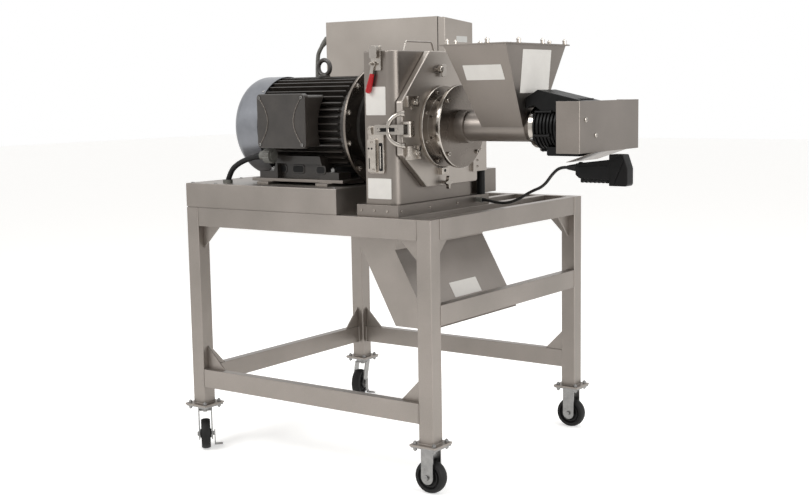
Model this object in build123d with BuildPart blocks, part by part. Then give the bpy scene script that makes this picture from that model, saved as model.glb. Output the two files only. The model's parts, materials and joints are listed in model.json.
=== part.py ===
from build123d import *
import math
import os

os.makedirs("parts", exist_ok=True)

# Disc mill with screw feeder on a castered table, in millimetres.
# X runs along the mill's shaft towards the feeder, Y away from the operator's side, Z up.
# The origin is on the floor under the middle of the machine's overall box.

# Table
table_length = 1225.0
table_width = 1160.0
table_height = 1020.0
leg_size = 63.5
tube_wall = 3.0
rail_width = 38.1
rail_height = 76.2
leg_bottom = 190.0
lower_rail_top = 340.0
mid_rail_top = 703.0
gusset_leg = 95.0
gusset_thickness = 6.0

# Foot plates and casters
foot_plate_size = 114.3
foot_plate_thickness = 7.0
caster_plate_thickness = 6.0
bolt_spacing = 84.0
bolt_hole_radius = 5.5
wheel_diameter = 127.0
wheel_width = 38.0
tread_crown = 5.0
wheel_bore_radius = 8.05
axle_radius = 8.0
fork_plate = 5.0
fork_gap = 5.0
fork_width = 52.0
swivel_gap = 1.0
swivel_trail = 40.0
front_swivel_angle = -45.0
back_swivel_angle = -75.0

# Overall reach of the feeder from the table's middle
feeder_reach = 1262.0
foot_overhang = (foot_plate_size - leg_size) / 2
table_x = -(feeder_reach - table_length / 2 - foot_overhang) / 2
front_turn = math.radians(front_swivel_angle)
wheel_edge = wheel_diameter / 2 - tread_crown
wheel_reach = (swivel_trail + wheel_edge) * abs(math.sin(front_turn)) + wheel_width / 2 * abs(math.cos(front_turn))
table_y = (wheel_reach - leg_size / 2 - foot_overhang) / 2
left_x = table_x - table_length / 2
right_x = table_x + table_length / 2
front_y = table_y - table_width / 2
back_y = table_y + table_width / 2

# Mill shaft
mill_y = table_y - 268.0
mill_z = table_height + 326.0
shaft_radius = 27.5
shaft_clearance = 0.05

# Motor base box
base_gap = 4.0
base_height = 100.0
base_width = 620.0
base_end_gap = 81.5
sheet = 3.0
base_front_y = front_y + 2.0
base_top = table_height + base_height

# Motor
shaft_height = 203.0
motor_body_radius = 168.0
motor_bore_radius = 150.0
motor_fin_tip_radius = 199.0
motor_fin_count = 44
motor_fin_thickness = 4.5
motor_body_length = 420.0
motor_back_x = table_x - 312.5
motor_front_x = motor_back_x + motor_body_length
endshield_thickness = 40.0
endshield_radius = 186.0
flange_length = 16.0
flange_radius = 150.0
bearing_radius = 55.0
bearing_width = 29.0
rotor_radius = 99.0
rotor_length = 200.0
air_gap = 1.0
cover_length = 135.0
cover_radius = 203.0
cover_corner = 45.0
cover_wall = 2.5
fan_radius = 150.0
foot_length = 410.0
foot_spread = 190.0
foot_thickness = 28.0
foot_hole_x = 304.8
foot_hole_y = 317.5
foot_hole_radius = 8.5
terminal_box_x = -106.0
terminal_box_length = 235.0
terminal_box_height = 200.0
terminal_box_z = 27.0
terminal_box_reach = 262.0
terminal_cover_depth = 23.0
terminal_cover_margin = 6.0
eye_ring_radius = 22.5
eye_rod_radius = 7.0

# Mill
guard_ring_radius = 237.0
guard_ring_thickness = 12.0
housing_back_x = table_x + 298.0
housing_depth = 137.0
housing_width = 544.0
housing_top = table_height + 610.0
housing_wall = 12.0
housing_corner = 39.0
plinth_height = 45.0
plinth_overhang_y = 16.0
plinth_back_x = housing_back_x - 34.0
plinth_front_x = housing_back_x + 157.0
plinth_far_y = mill_y + 343.0
chamber_radius = 205.0
door_thickness = 24.0
door_gap = 1.5
door_half_width = 262.0
door_bottom = table_height + 101.0
door_vertex_half_height = 97.0
door_top_half_width = 78.0
disc_radius = 152.0
disc_thickness = 22.0
disc_gap = 1.0
disc_teeth = 24
hub_thickness = 30.0

# Feeder
ring_radius = 155.0
ring_thickness = 14.0
neck_radius = 118.0
feed_plate_radius = 157.0
feed_plate_thickness = 16.0
neck_length = 62.0
tube_radius = 55.0
feed_tube_wall = 4.0
tube_end = 850.0
cone_length = 50.0
cone_radius = 75.0
hopper_top_length = 280.0
hopper_top_width = 458.0
hopper_bottom_length = 174.0
hopper_top_z = table_height + 624.0
hopper_wall = 3.0
hopper_start = 605.0
auger_clearance = 3.0
auger_shaft_radius = 16.0
auger_pitch = 80.0
flight_thickness = 6.0

# Door hinge
hinge_pin_radius = 10.0
hinge_pin_clearance = 0.05
hinge_knuckle_radius = 17.0
hinge_y = mill_y + housing_width / 2 + 20.0

# Control enclosure
enclosure_left = table_x - 479.0
enclosure_length = 606.0
enclosure_front_y = table_y + 200.0
enclosure_depth = 226.0
enclosure_top_front = table_height + 775.0
enclosure_top_back = table_height + 757.0
enclosure_door_thickness = 34.0
enclosure_door_gap = 1.5

# Derived stations along X
guard_ring_x = motor_front_x + endshield_thickness + flange_length
housing_front_x = housing_back_x + housing_depth
housing_front_y = mill_y - housing_width / 2
housing_far_y = mill_y + housing_width / 2
housing_bottom = table_height + plinth_height
door_back_x = housing_front_x + door_gap
door_face_x = door_back_x + door_thickness
ring_face_x = door_face_x + ring_thickness
feed_plate_x = ring_face_x + neck_length
tube_start_x = feed_plate_x + feed_plate_thickness
tube_end_x = table_x + tube_end
cone_end_x = tube_end_x + cone_length
hinge_x = door_back_x + door_thickness / 2
base_length = plinth_back_x - base_end_gap - left_x


def side_plane(y, x=0.0, z=0.0):
    # Local x runs along X, local y runs up, and the plane faces the operator's side.
    return Plane(origin=(x, y, z), x_dir=(1, 0, 0), z_dir=(0, -1, 0))


def end_plane(x, y=0.0, z=0.0):
    # Local x runs along Y, local y runs up, and the plane faces the feeder.
    return Plane(origin=(x, y, z), x_dir=(0, 1, 0), z_dir=(1, 0, 0))


def save(part, label):
    part.label = label
    export_step(part, f"parts/{label}.step")


mill_axis = Axis((0, mill_y, mill_z), (1, 0, 0))
leg_inset = leg_size / 2
leg_places = [
    (x, y)
    for x in (left_x + leg_inset, right_x - leg_inset)
    for y in (front_y + leg_inset, back_y - leg_inset)
]

# Table frame
with BuildPart() as frame_legs:
    with BuildSketch(Plane.XY.offset(leg_bottom)):
        with Locations(*leg_places):
            Rectangle(leg_size, leg_size)
    extrude(amount=table_height - leg_bottom)
    with BuildSketch(Plane.XY.offset(leg_bottom)):
        with Locations(*leg_places):
            Rectangle(leg_size - 2 * tube_wall, leg_size - 2 * tube_wall)
    extrude(amount=table_height - leg_bottom - tube_wall, mode=Mode.SUBTRACT)
    fillet(frame_legs.edges().filter_by(Axis.Z).filter_by(lambda e: e.length > table_height - leg_bottom - 1), 4.0)
save(frame_legs.part, "frame_legs")

long_rail = table_length - 2 * leg_size
short_rail = table_width - 2 * leg_size
rail_inset = rail_width / 2
hollow_width = rail_width - 2 * tube_wall
hollow_height = rail_height - 2 * tube_wall


def long_rails(top, sides):
    # Rails along X, cut from one box section and butted between the legs.
    for y in sides:
        middle = (table_x, y, top - rail_height / 2)
        with Locations(middle):
            Box(long_rail, rail_width, rail_height)
            Box(long_rail, hollow_width, hollow_height, mode=Mode.SUBTRACT)


def short_rails(top, places):
    # Rails along Y.
    for x in places:
        with Locations((x, table_y, top - rail_height / 2)):
            Box(rail_width, short_rail, rail_height)
            Box(hollow_width, short_rail, hollow_height, mode=Mode.SUBTRACT)


with BuildPart() as top_rails:
    long_rails(table_height, (front_y + rail_inset, back_y - rail_inset))
    short_rails(table_height, (left_x + rail_inset, right_x - rail_inset))
save(top_rails.part, "top_rails")

with BuildPart() as lower_rails:
    long_rails(lower_rail_top, (front_y + rail_inset, back_y - rail_inset))
    short_rails(lower_rail_top, (left_x + rail_inset,))
    short_rails(mid_rail_top, (right_x - rail_inset,))
save(lower_rails.part, "lower_rails")

cross_rail_length = table_width - 2 * rail_width
cross_rail_places = (
    motor_back_x + 40.0,
    motor_front_x - 40.0,
    plinth_back_x + rail_inset,
    plinth_front_x - rail_inset,
)
with BuildPart() as cross_rails:
    for x in cross_rail_places:
        with Locations((x, table_y, table_height - rail_height / 2)):
            Box(rail_width, cross_rail_length, rail_height)
            Box(hollow_width, cross_rail_length, hollow_height, mode=Mode.SUBTRACT)
save(cross_rails.part, "cross_rails")


def gusset(corner, along, up):
    # A triangular web in a corner: along is the direction on the rail, up is +1 or -1.
    run = Vector(*along)
    rise = Vector(0, 0, up)
    normal = run.cross(rise)
    plane = Plane(origin=Vector(*corner) - normal * gusset_thickness / 2, x_dir=run, z_dir=normal)
    with BuildSketch(plane) as web:
        with BuildLine():
            Polyline((0, 0), (gusset_leg, 0), (0, gusset_leg), close=True)
        make_face()
    extrude(web.sketch, amount=gusset_thickness)


inner_left = left_x + leg_size
inner_right = right_x - leg_size
inner_front = front_y + leg_size
inner_back = back_y - leg_size
mid_front = front_y + leg_inset
mid_back = back_y - leg_inset
mid_left = left_x + leg_inset
mid_right = right_x - leg_inset
under_top = table_height - rail_height
with BuildPart() as corner_gussets:
    for y in (mid_front, mid_back):
        gusset((inner_left, y, under_top), (1, 0, 0), -1)
        gusset((inner_right, y, under_top), (-1, 0, 0), -1)
        gusset((inner_left, y, lower_rail_top), (1, 0, 0), 1)
        gusset((inner_right, y, lower_rail_top), (-1, 0, 0), 1)
    for x in (mid_left, mid_right):
        gusset((x, inner_front, under_top), (0, 1, 0), -1)
        gusset((x, inner_back, under_top), (0, -1, 0), -1)
    gusset((mid_left, inner_front, lower_rail_top), (0, 1, 0), 1)
    gusset((mid_left, inner_back, lower_rail_top), (0, -1, 0), 1)
save(corner_gussets.part, "corner_gussets")

foot_plate_bottom = leg_bottom - foot_plate_thickness
caster_plate_bottom = foot_plate_bottom - caster_plate_thickness
bolt_square = [(sx * bolt_spacing / 2, sy * bolt_spacing / 2) for sx in (-1, 1) for sy in (-1, 1)]
bolt_places = [(x + dx, y + dy) for x, y in leg_places for dx, dy in bolt_square]
with BuildPart() as foot_plates:
    with BuildSketch(Plane.XY.offset(foot_plate_bottom)):
        with Locations(*leg_places):
            Rectangle(foot_plate_size, foot_plate_size)
        with Locations(*bolt_places):
            Circle(bolt_hole_radius, mode=Mode.SUBTRACT)
    extrude(amount=foot_plate_thickness)
save(foot_plates.part, "foot_plates")

# Casters
axle_z = wheel_diameter / 2
fork_inner = wheel_width / 2 + fork_gap
fork_outer = fork_inner + fork_plate
rigid_places = [(right_x - leg_inset, front_y + leg_inset), (right_x - leg_inset, back_y - leg_inset)]
swivel_places = [(left_x + leg_inset, front_y + leg_inset), (left_x + leg_inset, back_y - leg_inset)]
fork_top = caster_plate_bottom
swivel_head_height = 14.0
swivel_fork_top = fork_top - swivel_head_height - swivel_gap
kingpin_radius = 9.0


def caster_plate(x, y):
    with BuildSketch(Plane(origin=(x, y, caster_plate_bottom))) as outline:
        Rectangle(foot_plate_size, foot_plate_size - 12.0)
        with Locations(*bolt_square):
            Circle(bolt_hole_radius, mode=Mode.SUBTRACT)
    extrude(outline.sketch, amount=caster_plate_thickness)


def wheel_axle(frame, radius, half_length):
    with BuildSketch(frame.offset(-half_length)) as outline:
        Circle(radius)
    extrude(outline.sketch, amount=2 * half_length)


def fork_cheeks(frame, top, lean):
    # Two cheeks beside the wheel; frame has its origin at the axle and z along the axle.
    rise = top - axle_z
    for side in (fork_inner, -fork_outer):
        with BuildSketch(frame.offset(side)) as cheek:
            with BuildLine():
                Line((-fork_width / 2 + lean, rise), (-fork_width / 2, 0))
                RadiusArc((-fork_width / 2, 0), (fork_width / 2, 0), -fork_width / 2)
                Line((fork_width / 2, 0), (fork_width / 2 + lean, rise))
                Line((fork_width / 2 + lean, rise), (-fork_width / 2 + lean, rise))
            make_face()
            Circle(axle_radius, mode=Mode.SUBTRACT)
        extrude(cheek.sketch, amount=fork_plate)


def axle_frame(x, y, angle):
    # x runs along the rolling direction, y runs up and z runs along the axle.
    turn = math.radians(angle)
    rolling = (math.cos(turn), math.sin(turn), 0)
    axle = (math.sin(turn), -math.cos(turn), 0)
    return Plane(origin=(x, y, axle_z), x_dir=rolling, z_dir=axle)


with BuildPart() as caster_heads:
    for x, y in rigid_places:
        caster_plate(x, y)
        fork_cheeks(axle_frame(x, y, 0), fork_top, 0)
    for x, y in swivel_places:
        caster_plate(x, y)
        with BuildSketch(Plane.XY.offset(fork_top - swivel_head_height)):
            with Locations((x, y)):
                Circle(30.0)
        extrude(amount=swivel_head_height)
        with BuildSketch(Plane.XY.offset(swivel_fork_top - 14.0)):
            with Locations((x, y)):
                Circle(kingpin_radius)
        extrude(amount=swivel_gap + 15.0)
    for x, y in rigid_places:
        wheel_axle(axle_frame(x, y, 0), axle_radius, fork_outer + 6.0)
save(caster_heads.part, "caster_heads")


def make_swivel_fork(x, y, angle):
    turn = math.radians(angle)
    wheel_x = x + swivel_trail * math.cos(turn)
    wheel_y = y + swivel_trail * math.sin(turn)
    frame = axle_frame(wheel_x, wheel_y, angle)
    with BuildPart() as fork:
        fork_cheeks(frame, swivel_fork_top, -swivel_trail)
        with BuildSketch(Plane(origin=(x, y, swivel_fork_top), x_dir=frame.x_dir, z_dir=(0, 0, 1))):
            RectangleRounded(fork_width + 8.0, 2 * fork_outer, 6.0)
            Circle(kingpin_radius + shaft_clearance, mode=Mode.SUBTRACT)
        extrude(amount=-fork_plate)
        wheel_axle(frame, axle_radius, fork_outer + 6.0)
    return fork.part, frame


def make_wheel(frame):
    # Moulded wheel with a crowned tread, a recessed web and a hub.
    tread = wheel_diameter / 2
    half = wheel_width / 2
    hub = half + fork_gap - 0.6
    section = Plane(origin=frame.origin, x_dir=frame.z_dir, z_dir=frame.x_dir)
    with BuildPart() as wheel:
        with BuildSketch(section):
            with BuildLine():
                Polyline((-hub, wheel_bore_radius), (hub, wheel_bore_radius), (hub, 18.0), (9.0, 22.0))
                Polyline((9.0, 22.0), (9.0, 42.0), (half, 47.0), (half, tread - tread_crown))
                ThreePointArc((half, tread - tread_crown), (0, tread), (-half, tread - tread_crown))
                Polyline((-half, tread - tread_crown), (-half, 47.0), (-9.0, 42.0), (-9.0, 22.0), (-hub, 18.0))
                Line((-hub, 18.0), (-hub, wheel_bore_radius))
            make_face()
        revolve(axis=Axis(frame.origin, frame.z_dir))
    return wheel.part


def make_brake(frame):
    # A pressed lever beside the fork, on the axle's outer end, with a pedal folded outwards.
    side = fork_outer + 6.0 + 0.5
    lever_plane = Plane(origin=frame.origin - frame.z_dir * side, x_dir=frame.x_dir, z_dir=-frame.z_dir)
    with BuildPart() as lever:
        with BuildSketch(lever_plane):
            with BuildLine():
                Polyline((12, -14), (12, 30), (-4, 52), (-26, 60), (-28, 52), (-12, 34), (-14, -14), close=True)
            make_face()
        extrude(amount=4.0)
        with BuildSketch(lever_plane):
            with BuildLine():
                Polyline((-28, 52), (-26, 60), (0, 50.5), (-3, 43), close=True)
            make_face()
        extrude(amount=34.0)
    return lever.part


swivel_names = ("front", "back")
swivel_angles = (front_swivel_angle, back_swivel_angle)
for name, (x, y), angle in zip(swivel_names, swivel_places, swivel_angles):
    swivel_fork, swivel_frame = make_swivel_fork(x, y, angle)
    save(swivel_fork, f"swivel_fork_{name}")
    save(make_wheel(swivel_frame), f"swivel_wheel_{name}")
    save(make_brake(swivel_frame), f"brake_lever_{name}")
for name, (x, y) in zip(swivel_names, rigid_places):
    save(make_wheel(axle_frame(x, y, 0)), f"rigid_wheel_{name}")

# Motor base box, folded from sheet, open below
base_middle = (left_x + base_length / 2, base_front_y + base_width / 2)
with BuildPart() as motor_base:
    with BuildSketch(Plane.XY.offset(table_height + base_gap)):
        with Locations(base_middle):
            Rectangle(base_length, base_width)
    extrude(amount=base_height - base_gap)
    fillet(motor_base.edges().group_by(Axis.Z)[-1], 4.0)
    offset(amount=-sheet, openings=motor_base.faces().sort_by(Axis.Z)[0])
    with BuildSketch(Plane.XY.offset(base_top - sheet)):
        with Locations((guard_ring_x + guard_ring_thickness / 2, mill_y)):
            Rectangle(guard_ring_thickness + 6.0, 150.0)
    extrude(amount=sheet, mode=Mode.SUBTRACT)
    with BuildSketch(Plane.XY.offset(table_height)):
        with Locations(base_middle):
            Rectangle(base_length - 2 * sheet, base_width - 2 * sheet)
            Rectangle(base_length - 40.0, base_width - 40.0, mode=Mode.SUBTRACT)
    extrude(amount=base_gap + sheet)
save(motor_base.part, "motor_base")

# Motor: finned frame with feet, its end shields, rotor and cover
motor_middle_x = (motor_back_x + motor_front_x) / 2
motor_foot_z = mill_z - shaft_height
mill_section = side_plane(mill_y, 0, mill_z)
fin_length = motor_fin_tip_radius - motor_body_radius
with BuildPart() as motor_frame:
    with BuildSketch(end_plane(motor_back_x, mill_y, mill_z)):
        Circle(motor_body_radius)
        with PolarLocations(motor_body_radius + fin_length / 2 - 2.0, motor_fin_count, start_angle=4.0):
            Rectangle(fin_length + 4.0, motor_fin_thickness)
        with Locations((0, -shaft_height + 24.0)):
            Rectangle(2 * motor_body_radius + 60.0, 48.0, mode=Mode.SUBTRACT)
    extrude(amount=motor_body_length)
    with BuildSketch(side_plane(mill_y, motor_middle_x, motor_foot_z)):
        with BuildLine():
            Polyline((-foot_length / 2, 0), (foot_length / 2, 0), (foot_length / 2, foot_thickness),
                     (foot_length / 2 - 75, foot_thickness), (foot_length / 2 - 95, 90),
                     (-foot_length / 2 + 95, 90), (-foot_length / 2 + 75, foot_thickness),
                     (-foot_length / 2, foot_thickness), close=True)
        make_face()
    extrude(amount=foot_spread, both=True)
    with BuildSketch(Plane(origin=(motor_middle_x, mill_y, motor_foot_z))):
        Rectangle(foot_length, 2 * foot_spread - 150.0)
        with Locations((0, foot_spread - 12.0), (0, -foot_spread + 12.0)):
            Rectangle(foot_length - 190.0, 26.0)
    extrude(amount=60.0, mode=Mode.SUBTRACT)
    with Locations((motor_middle_x, mill_y, motor_foot_z + foot_thickness)):
        with GridLocations(foot_hole_x, foot_hole_y, 2, 2):
            Hole(foot_hole_radius, depth=foot_thickness)
    with BuildSketch(end_plane(motor_back_x, mill_y, mill_z)):
        Circle(motor_bore_radius)
    extrude(amount=motor_body_length, mode=Mode.SUBTRACT)
save(motor_frame.part, "motor_frame")

with BuildPart() as motor_endshields:
    with BuildSketch(mill_section):
        with BuildLine():
            front = motor_front_x
            Polyline((front, bearing_radius), (front + 2.0, endshield_radius), (front + 26.0, endshield_radius),
                     (front + endshield_thickness, flange_radius),
                     (front + endshield_thickness + flange_length, flange_radius),
                     (front + endshield_thickness + flange_length, shaft_radius + 4.0),
                     (front + 6.0 + bearing_width, shaft_radius + 4.0),
                     (front + 6.0 + bearing_width, bearing_radius), close=True)
        make_face()
    revolve(axis=mill_axis)
    with BuildSketch(mill_section):
        with BuildLine():
            back = motor_back_x
            Polyline((back, bearing_radius), (back, motor_body_radius), (back - 14.0, motor_body_radius),
                     (back - 34.0, bearing_radius + 18.0), (back - 34.0, bearing_radius), close=True)
        make_face()
    revolve(axis=mill_axis)
save(motor_endshields.part, "motor_endshields")

front_bearing_x = motor_front_x + 6.0
rear_bearing_x = motor_back_x - 32.0
with BuildPart() as shaft_bearings:
    for x in (front_bearing_x, rear_bearing_x):
        with BuildSketch(end_plane(x, mill_y, mill_z)):
            Circle(bearing_radius)
            Circle(shaft_radius + shaft_clearance, mode=Mode.SUBTRACT)
        extrude(amount=bearing_width)
save(shaft_bearings.part, "shaft_bearings")

rotor_x = motor_middle_x - rotor_length / 2
with BuildPart() as motor_stator:
    with BuildSketch(end_plane(rotor_x - 30.0, mill_y, mill_z)):
        Circle(motor_bore_radius)
        Circle(rotor_radius + air_gap, mode=Mode.SUBTRACT)
    extrude(amount=rotor_length + 60.0)
save(motor_stator.part, "motor_stator")

with BuildPart() as motor_rotor:
    with BuildSketch(end_plane(rotor_x, mill_y, mill_z)):
        Circle(rotor_radius)
        Circle(shaft_radius, mode=Mode.SUBTRACT)
    extrude(amount=rotor_length)
save(motor_rotor.part, "motor_rotor")

# Discs: the door carries the fixed one, the shaft the rotating one
fixed_disc_x = door_back_x - disc_thickness
rotating_disc_x = fixed_disc_x - disc_gap - disc_thickness
hub_x = rotating_disc_x - hub_thickness
fan_x = motor_back_x - 84.0
shaft_start_x = fan_x - 14.0
shaft_end_x = rotating_disc_x + disc_thickness - 8.0
with BuildPart() as main_shaft:
    with BuildSketch(mill_section):
        with BuildLine():
            Polyline((shaft_start_x, 0), (shaft_start_x, 22.0), (rear_bearing_x - 4.0, 22.0),
                     (rear_bearing_x - 4.0, shaft_radius), (hub_x, shaft_radius), (hub_x, 22.0),
                     (shaft_end_x, 22.0), (shaft_end_x, 0), close=True)
        make_face()
    revolve(axis=mill_axis)
save(main_shaft.part, "main_shaft")

fan_width = 40.0
with BuildPart() as cooling_fan:
    with BuildSketch(end_plane(fan_x, mill_y, mill_z)):
        Circle(40.0)
        Circle(22.0, mode=Mode.SUBTRACT)
    extrude(amount=fan_width)
    with BuildSketch(end_plane(fan_x + fan_width - 5.0, mill_y, mill_z)):
        Circle(fan_radius - 15.0)
        Circle(22.0, mode=Mode.SUBTRACT)
    extrude(amount=5.0)
    with BuildSketch(end_plane(fan_x, mill_y, mill_z)):
        with PolarLocations((38.0 + fan_radius) / 2, 8):
            Rectangle(fan_radius - 38.0, 5.0)
    extrude(amount=fan_width)
save(cooling_fan.part, "cooling_fan")

cover_end_x = motor_back_x - cover_length
with BuildPart() as fan_cover:
    with BuildSketch(end_plane(cover_end_x, mill_y, mill_z)):
        Circle(cover_radius)
    extrude(amount=cover_length + 8.0)
    fillet(fan_cover.faces().sort_by(Axis.X)[0].edges(), cover_corner)
    offset(amount=-cover_wall, openings=fan_cover.faces().sort_by(Axis.X)[-1])
    with BuildSketch(end_plane(cover_end_x, mill_y, mill_z)):
        with PolarLocations(100.0, 16):
            Rectangle(80.0, 8.0)
    extrude(amount=cover_wall + 1.0, mode=Mode.SUBTRACT)
save(fan_cover.part, "fan_cover")

# Terminal box on the operator's side
box_x = table_x + terminal_box_x
box_z = mill_z + terminal_box_z
box_front_y = mill_y - terminal_box_reach
with BuildPart() as terminal_box:
    with BuildSketch(side_plane(box_front_y, box_x, box_z)):
        RectangleRounded(terminal_box_length, terminal_box_height, 14.0)
    extrude(amount=-(terminal_box_reach - motor_bore_radius - 8.0))
    with BuildSketch(end_plane(box_x - terminal_box_length / 2, mill_y, mill_z)):
        Circle(motor_fin_tip_radius + 0.5)
    extrude(amount=terminal_box_length, mode=Mode.SUBTRACT)
    with BuildSketch(side_plane(box_front_y, box_x, box_z)):
        RectangleRounded(terminal_box_length - 16.0, terminal_box_height - 16.0, 8.0)
    extrude(amount=-45.0, mode=Mode.SUBTRACT)
save(terminal_box.part, "terminal_box")

with BuildPart() as terminal_box_cover:
    cover_length_x = terminal_box_length + 2 * terminal_cover_margin
    cover_height_z = terminal_box_height + 2 * terminal_cover_margin
    with BuildSketch(side_plane(box_front_y, box_x, box_z)):
        RectangleRounded(cover_length_x, cover_height_z, 16.0)
    extrude(amount=terminal_cover_depth)
    fillet(terminal_box_cover.faces().sort_by(Axis.Y)[0].edges(), 5.0)
save(terminal_box_cover.part, "terminal_box_cover")

# Lifting eye on top of the frame
eye_x = motor_middle_x - 8.0
eye_z = mill_z + motor_fin_tip_radius + 10.0 + eye_ring_radius + eye_rod_radius
with BuildPart() as lifting_eye:
    with BuildSketch(Plane(origin=(eye_x, mill_y, mill_z + motor_fin_tip_radius))):
        Circle(17.0)
    extrude(amount=18.0)
    with Locations(Plane(origin=(eye_x, mill_y, eye_z), x_dir=(1, 0, 0), z_dir=(0, 1, 0))):
        Torus(eye_ring_radius, eye_rod_radius)
save(lifting_eye.part, "lifting_eye")

# Bars and plate under the feet
rail_plate = 12.0
bar_height = motor_foot_z - base_top - rail_plate
with BuildPart() as motor_rails:
    with BuildSketch(Plane(origin=(motor_middle_x, mill_y, motor_foot_z - rail_plate))):
        Rectangle(foot_length + 60.0, 2 * foot_spread + 30.0)
    extrude(amount=rail_plate)
    with BuildSketch(Plane(origin=(motor_middle_x, mill_y, base_top))):
        with Locations((-foot_hole_x / 2, 0), (foot_hole_x / 2, 0)):
            Rectangle(60.0, 2 * foot_spread + 90.0)
    extrude(amount=bar_height)
save(motor_rails.part, "motor_rails")

# Guard ring and adapter between motor and mill
with BuildPart() as guard_ring:
    with BuildSketch(end_plane(guard_ring_x, mill_y, mill_z)):
        Circle(guard_ring_radius)
        Circle(90.0, mode=Mode.SUBTRACT)
    extrude(amount=guard_ring_thickness)
    chamfer(guard_ring.edges().filter_by(GeomType.CIRCLE).sort_by(SortBy.RADIUS)[-2:], 2.0)
save(guard_ring.part, "guard_ring")

adapter_x = guard_ring_x + guard_ring_thickness
with BuildPart() as mill_adapter:
    with BuildSketch(mill_section):
        with BuildLine():
            Polyline((adapter_x, 60.0), (adapter_x, 165.0), (adapter_x + 14.0, 165.0), (adapter_x + 14.0, 125.0),
                     (housing_back_x - 16.0, 125.0), (housing_back_x - 16.0, 150.0),
                     (housing_back_x, 150.0), (housing_back_x, 60.0), close=True)
        make_face()
    revolve(axis=mill_axis)
save(mill_adapter.part, "mill_adapter")

# Mill housing, open below and with a round chamber opening to the door
housing_middle_x = housing_back_x + housing_depth / 2
housing_height = housing_top - housing_bottom
with BuildPart() as mill_housing:
    with BuildSketch(Plane(origin=(housing_middle_x, mill_y, housing_bottom))):
        Rectangle(housing_depth, housing_width)
    extrude(amount=housing_height)
    upright = mill_housing.edges().filter_by(Axis.Z)
    fillet(upright.group_by(Axis.X)[-1], housing_corner)
    fillet(mill_housing.faces().sort_by(Axis.Z)[-1].edges(), 5.0)
    offset(amount=-housing_wall, openings=mill_housing.faces().sort_by(Axis.Z)[0])
    with BuildSketch(end_plane(housing_front_x - housing_wall - 1.0, mill_y, mill_z)):
        Circle(chamber_radius)
    extrude(amount=housing_wall + 2.0, mode=Mode.SUBTRACT)
    with BuildSketch(end_plane(housing_back_x - 1.0, mill_y, mill_z)):
        Circle(60.0)
    extrude(amount=housing_wall + 2.0, mode=Mode.SUBTRACT)
save(mill_housing.part, "mill_housing")

# Plinth: a bolted frame of plate round the throat, on the cross rails
plinth_middle_x = (plinth_back_x + plinth_front_x) / 2
plinth_front_y = housing_front_y - plinth_overhang_y
plinth_middle_y = (plinth_front_y + plinth_far_y) / 2
throat_back_x = plinth_back_x + rail_width + 2.0
throat_front_x = plinth_front_x - rail_width - 2.0
throat_front_y = housing_front_y + 24.0
throat_far_y = housing_far_y - 24.0
throat_middle = ((throat_back_x + throat_front_x) / 2, (throat_front_y + throat_far_y) / 2)
throat_length = throat_front_x - throat_back_x
throat_width = throat_far_y - throat_front_y
with BuildPart() as mill_plinth:
    with BuildSketch(Plane.XY.offset(table_height)):
        with Locations((plinth_middle_x, plinth_middle_y)):
            Rectangle(plinth_front_x - plinth_back_x, plinth_far_y - plinth_front_y)
        with Locations(throat_middle):
            Rectangle(throat_length + 1.0, throat_width + 1.0, mode=Mode.SUBTRACT)
    extrude(amount=plinth_height)
save(mill_plinth.part, "mill_plinth")

# Discharge chute: a collar through the plinth, then a duct that slants out under the feeder
chute_bottom_z = 606.0
chute_top_z = table_height - rail_height - 1.0
chute_front_y = mill_y - 246.0
chute_far_y = mill_y + 368.0
chute_back_top = table_x + 221.5
chute_front_top = throat_front_x + 3.0
chute_back_bottom = table_x + 404.0
chute_front_bottom = table_x + 568.0
chute_knee = (table_x + 407.0, 894.0)
inner_drop = 10.0
back_slope = (chute_back_bottom - chute_back_top) / (chute_top_z - chute_bottom_z)
front_slope = (chute_front_bottom - chute_knee[0]) / (chute_knee[1] - chute_bottom_z)
with BuildPart() as discharge_chute:
    with BuildSketch(side_plane(chute_front_y)):
        with BuildLine():
            Polyline((chute_back_top, chute_top_z), (chute_front_top, chute_top_z), chute_knee,
                     (chute_front_bottom, chute_bottom_z), (chute_back_bottom, chute_bottom_z), close=True)
        make_face()
    extrude(amount=chute_front_y - chute_far_y)
    with BuildSketch(side_plane(chute_front_y + sheet)):
        with BuildLine():
            Polyline((chute_back_top, chute_top_z), (chute_front_top, chute_top_z), chute_knee,
                     (chute_front_bottom + front_slope * inner_drop, chute_bottom_z - inner_drop),
                     (chute_back_bottom + back_slope * inner_drop, chute_bottom_z - inner_drop), close=True)
        make_face()
        offset(amount=-sheet, mode=Mode.REPLACE)
    extrude(amount=chute_front_y - chute_far_y + 2 * sheet, mode=Mode.SUBTRACT)
    with BuildSketch(Plane.XY.offset(chute_top_z - sheet)):
        with Locations(throat_middle):
            Rectangle(throat_length, throat_width)
    extrude(amount=housing_bottom - chute_top_z + sheet)
    with BuildSketch(Plane.XY.offset(chute_top_z - sheet)):
        with Locations(throat_middle):
            Rectangle(throat_length - 2 * sheet, throat_width - 2 * sheet)
    extrude(amount=housing_bottom - chute_top_z + sheet, mode=Mode.SUBTRACT)
save(discharge_chute.part, "discharge_chute")

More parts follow.
